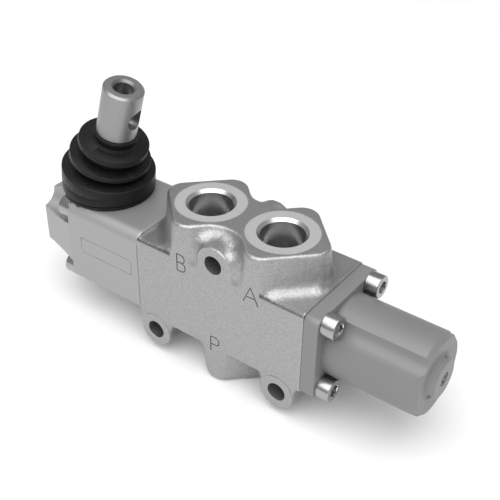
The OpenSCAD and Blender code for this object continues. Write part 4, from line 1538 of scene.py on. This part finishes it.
@dataclass
class Boot:
    """The moulded rubber bellows between the housing's collar and the lever."""

    plan: Layout
    looks: Finishes
    wall: float = 1.8
    skirt_r: float = 20.8
    lower_r: float = 17.9
    upper_r: float = 15.4
    neck_r: float = 9.6
    shank_r: float = 6.05
    shift: float = 1.7
    bending: Profile = ((0, 0), (28, 1))
    tilting: Profile = ((2, 0), (21.8, 1.2), (26, 1.2), (28, 1))

    def reach(self) -> float:
        """The distance from the lever's pivot to the boot's top lip, just below the lever's head."""
        return HandLever.length - HandLever.head_l - 0.05

    @staticmethod
    def ring(r: float, foot: float, top: float) -> Outline:
        """The upright rim of a flat-topped ring, with a soft edge below and above it."""
        e = 0.35
        return [(r - 0.4, foot - 0.4)] + arc(r - e, foot, e, -50, 0, 3) + arc(r - e, top, e, 0, 80, 3)

    def outline(self) -> Outline:
        """The bellows' closed half section, as [radius, height above its foot]."""
        s, low, up, n, g, w = self.skirt_r, self.lower_r, self.upper_r, self.neck_r, self.shank_r, self.wall
        t = self.reach() + self.plan.lever_pivot[2] - self.plan.boot_foot_z
        outer = [(s - 0.9, 0)] + arc(s - 0.9, 0.3, 0.3, -60, 0, 2) + arc(s - 0.9, 1.2, 0.3, 0, 60, 2)
        outer += [(s - 1.1, 1.6), (s - 1.1, 2.1), (s - 0.35, 2.3)]
        outer += arc(s - 0.35, 2.65, 0.35, -60, 0, 3) + [(s, 6.5), (s - 0.12, 6.7), (s, 6.9)]
        outer += arc(s - 0.8, 11.5, 0.8, 0, 80, 5) + [(low - 3.3, 13), (low - 3.3, 14.6)]
        outer += self.ring(low, 16.8, 19.05) + [(up - 3, 20), (up - 3, 21.8)] + self.ring(up, 24.6, 26.85)
        outer += [(n + 0.5, 27.6), (n + 0.1, 28)] + arc(n - 0.25, t - 4.05, 0.25, 0, 80, 3)
        outer += [(n - 1, t - 3.6), (n - 1, t - 2)]
        outer += arc(n - 0.3, t - 1.3, 0.3, -60, 0, 2) + arc(n - 0.4, t - 0.4, 0.4, 0, 90, 3) + [(g, t)]
        inner = [(g, t - 4.3), (g + 2.5, 25.9), (up - w - 0.6, 25.2), (up - w - 3, 23), (up - w - 3, 18.3)]
        inner += [(low - w - 0.6, 17.6), (low - w - 3.3, 15.8), (low - w - 3.3, 11.3), (s - w - 0.5, 10.4)]
        inner += [(s - w - 0.5, 3), (s - w - 0.9, 2)]
        return outer + inner + [(s - w - 0.9, 0)]

    @staticmethod
    def share(height: float, steps: Profile) -> float:
        """Reads a value between the steps of a short table of [height, value]."""
        for (h1, v1), (h2, v2) in zip(steps, steps[1:]):
            if height <= h2:
                return v1 + (v2 - v1) * max(0, height - h1) / (h2 - h1)
        return steps[-1][1]

    def bend(self, piece: bpy.types.Object) -> None:
        """Leans the bellows over with the lever ring by ring, each set aside until all are done."""
        heights = sorted({round(v.co.z, 3) for v in piece.data.vertices})
        px, _, pz = self.plan.lever_pivot
        foot = self.plan.boot_foot_z
        lean = math.radians(HandLever.lean)
        along = Vector((math.sin(lean), 0, math.cos(lean)))
        start = Vector((px + self.shift, 0, foot))
        far = Vector((FAR, 0, 0))
        for height in heights:
            leaning = Vector((px, 0, pz)) + along * (height + foot - pz)
            centre = (start + Vector((0, 0, height))).lerp(leaning, self.share(height, self.bending))
            Bench.select(piece, "VERT", lambda co, _, h=height: abs(co.z - h) < 6e-4 and abs(co.x) < 60)
            turn = lean * self.share(height, self.tilting)
            if turn > 0:
                bpy.ops.transform.rotate(
                    value=-turn, orient_axis="Y", orient_type="GLOBAL", center_override=(0, 0, height)
                )
            bpy.ops.transform.translate(value=centre - Vector((0, 0, height)) + far)
        Bench.edit(piece, everything=True)
        bpy.ops.transform.translate(value=-far)
        Bench.clear()

    def build(self) -> bpy.types.Object:
        """Moulds, bends, dresses and hands over the boot."""
        piece = Bench.lathe("moulded_lever_boot", self.outline(), 96, True)
        self.bend(piece)
        Bench.smooth(piece, 40)
        dress(piece, self.looks.boot)
        Bench.finish(piece, None, "boot_rubber")
        px, _, pz = self.plan.lever_pivot
        reach = self.reach() - 4.5
        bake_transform(piece)
        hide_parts("lever_boot")
        return piece


@dataclass
class ReturnSpring:
    """The coil spring in the cap, between its seats."""

    looks: Finishes
    weld: float = 1e-6

    def build(self) -> bpy.types.Object:
        """Takes the solid's coil, closes its skin and dresses it."""
        piece = Bench.copy(frame["nodes"]["return_spring"], "coiled_return_spring")
        Bench.edit(piece, everything=True)
        bpy.ops.mesh.remove_doubles(threshold=self.weld)
        Bench.clear()
        Bench.smooth(piece)
        dress(piece, self.looks.steel)
        low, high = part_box("return_spring")
        start, end = (high[0], 0, low[2]), (low[0], 0, low[2])
        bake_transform(piece)
        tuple(start)
        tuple(end)
        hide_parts("return_spring")
        return piece


@dataclass
class InnerParts:
    """The CAD nodes that stay as they are and only get their finishes."""

    looks: Finishes

    def dress(self) -> None:
        """Assigns a finish to each node that isn't replaced."""
        finishes = {
            self.looks.steel: (
                "spool",
                "seal_retainer_lever_side",
                "seal_retainer_cap_side",
                "pivot_pin",
                "inner_spring_seat",
                "outer_spring_seat",
                "spool_end_screw",
            ),
            self.looks.bronze: ("pivot_bush", "pivot_washers"),
            self.looks.seal: (
                "spool_seal_lever_side",
                "spool_seal_cap_side",
                "spool_wiper",
                "housing_o_ring",
                "cap_o_ring",
            ),
        }
        for material, names in finishes.items():
            for name in names:
                node = frame["nodes"][name]
                if node.material_slots:
                    for slot in node.material_slots:
                        slot.material = material
                else:
                    node.data.materials.append(material)
                log.info("%s: dressed as %s", name, material.name)


@dataclass
class Studio:
    """The pale floor, the soft lights and the camera at the photograph's angle."""

    eye: Point = (180.218, -247.307, 276.066)
    azimuth: float = 35.754
    elevation: float = 35.696
    roll: float = 1.0066
    lens: float = 65.6
    sensor: float = 36
    floor_tone: float = 0.86
    floor_size: float = 12
    floor_gap: float = 0.0002
    sky: float = 0.42
    key_place: Point = (0.25, -0.55, 1.5)
    key_target: Point = (0, 0.1, 0.03)
    key_size: float = 2.4
    key_watts: float = 46

    def camera(self) -> None:
        """Sets up the camera from its place, its two angles and its roll."""
        a, e, r = (math.radians(v) for v in (self.azimuth, self.elevation, self.roll))
        right = Vector((math.cos(a), math.sin(a), 0))
        back = Vector((math.sin(a) * math.cos(e), -math.cos(a) * math.cos(e), math.sin(e)))
        up = back.cross(right)
        x_axis = right * math.cos(r) + up * math.sin(r)
        y_axis = up * math.cos(r) - right * math.sin(r)
        data = bpy.data.cameras.new("camera")
        data.lens = self.lens
        data.sensor_width = self.sensor
        data.clip_start = 0.01
        camera = Bench.place("camera", data)
        place = Vector(self.eye) * MM
        rows = [(x_axis[k], y_axis[k], back[k], place[k]) for k in range(3)]
        camera.matrix_world = Matrix([*rows, (0, 0, 0, 1)])
        bpy.context.scene.camera = camera

    def floor(self) -> None:
        """Adds the pale floor just under the pressure port."""
        Bench.clear()
        bpy.ops.mesh.primitive_plane_add(size=self.floor_size, location=(0, 0, -self.floor_gap))
        floor = Bench.settle(bpy.context.active_object)
        floor.name = "studio_floor"
        paint = Paint("studio_floor", self.floor_tone, 0.9, 0)
        floor.data.materials.append(paint.material)

    def key(self) -> None:
        """Adds the large square light overhead, a little towards the front and the cap's side."""
        data = bpy.data.lights.new("key", "AREA")
        data.size = self.key_size
        data.energy = self.key_watts
        light = Bench.place("key", data)
        light.location = self.key_place
        away = Vector(self.key_place) - Vector(self.key_target)
        light.rotation_euler = away.to_track_quat("Z", "Y").to_euler()

    def surroundings(self) -> None:
        """Fills the shadows with an even white sky, and shows tones as they are."""
        world = bpy.data.worlds.new("studio")
        bpy.context.scene.world = world
        world.use_nodes = True
        background = world.node_tree.nodes["Background"]
        background.inputs["Color"].default_value = (1, 1, 1, 1)
        background.inputs["Strength"].default_value = self.sky
        bpy.context.scene.view_settings.view_transform = "Standard"

    def build(self) -> None:
        """Sets the whole studio up."""
        self.camera()
        self.floor()
        self.surroundings()
        self.key()


def main() -> None:
    """Builds the valve's sub-assemblies in order, then the studio."""
    logging.basicConfig(level=logging.INFO, format="%(message)s")
    plan = Layout.read()
    looks = Finishes.make()
    CastBlock(plan, looks).build()
    LeverHousing(plan, looks).build()
    SpringCap(plan, looks).build()
    VentPlug(plan, looks).build()
    SocketScrews(plan, looks).build()
    HandLever(plan, looks).build()
    Boot(plan, looks).build()
    ReturnSpring(looks).build()
    InnerParts(looks).dress()
    Studio().build()


if __name__ == "__main__":
    main()
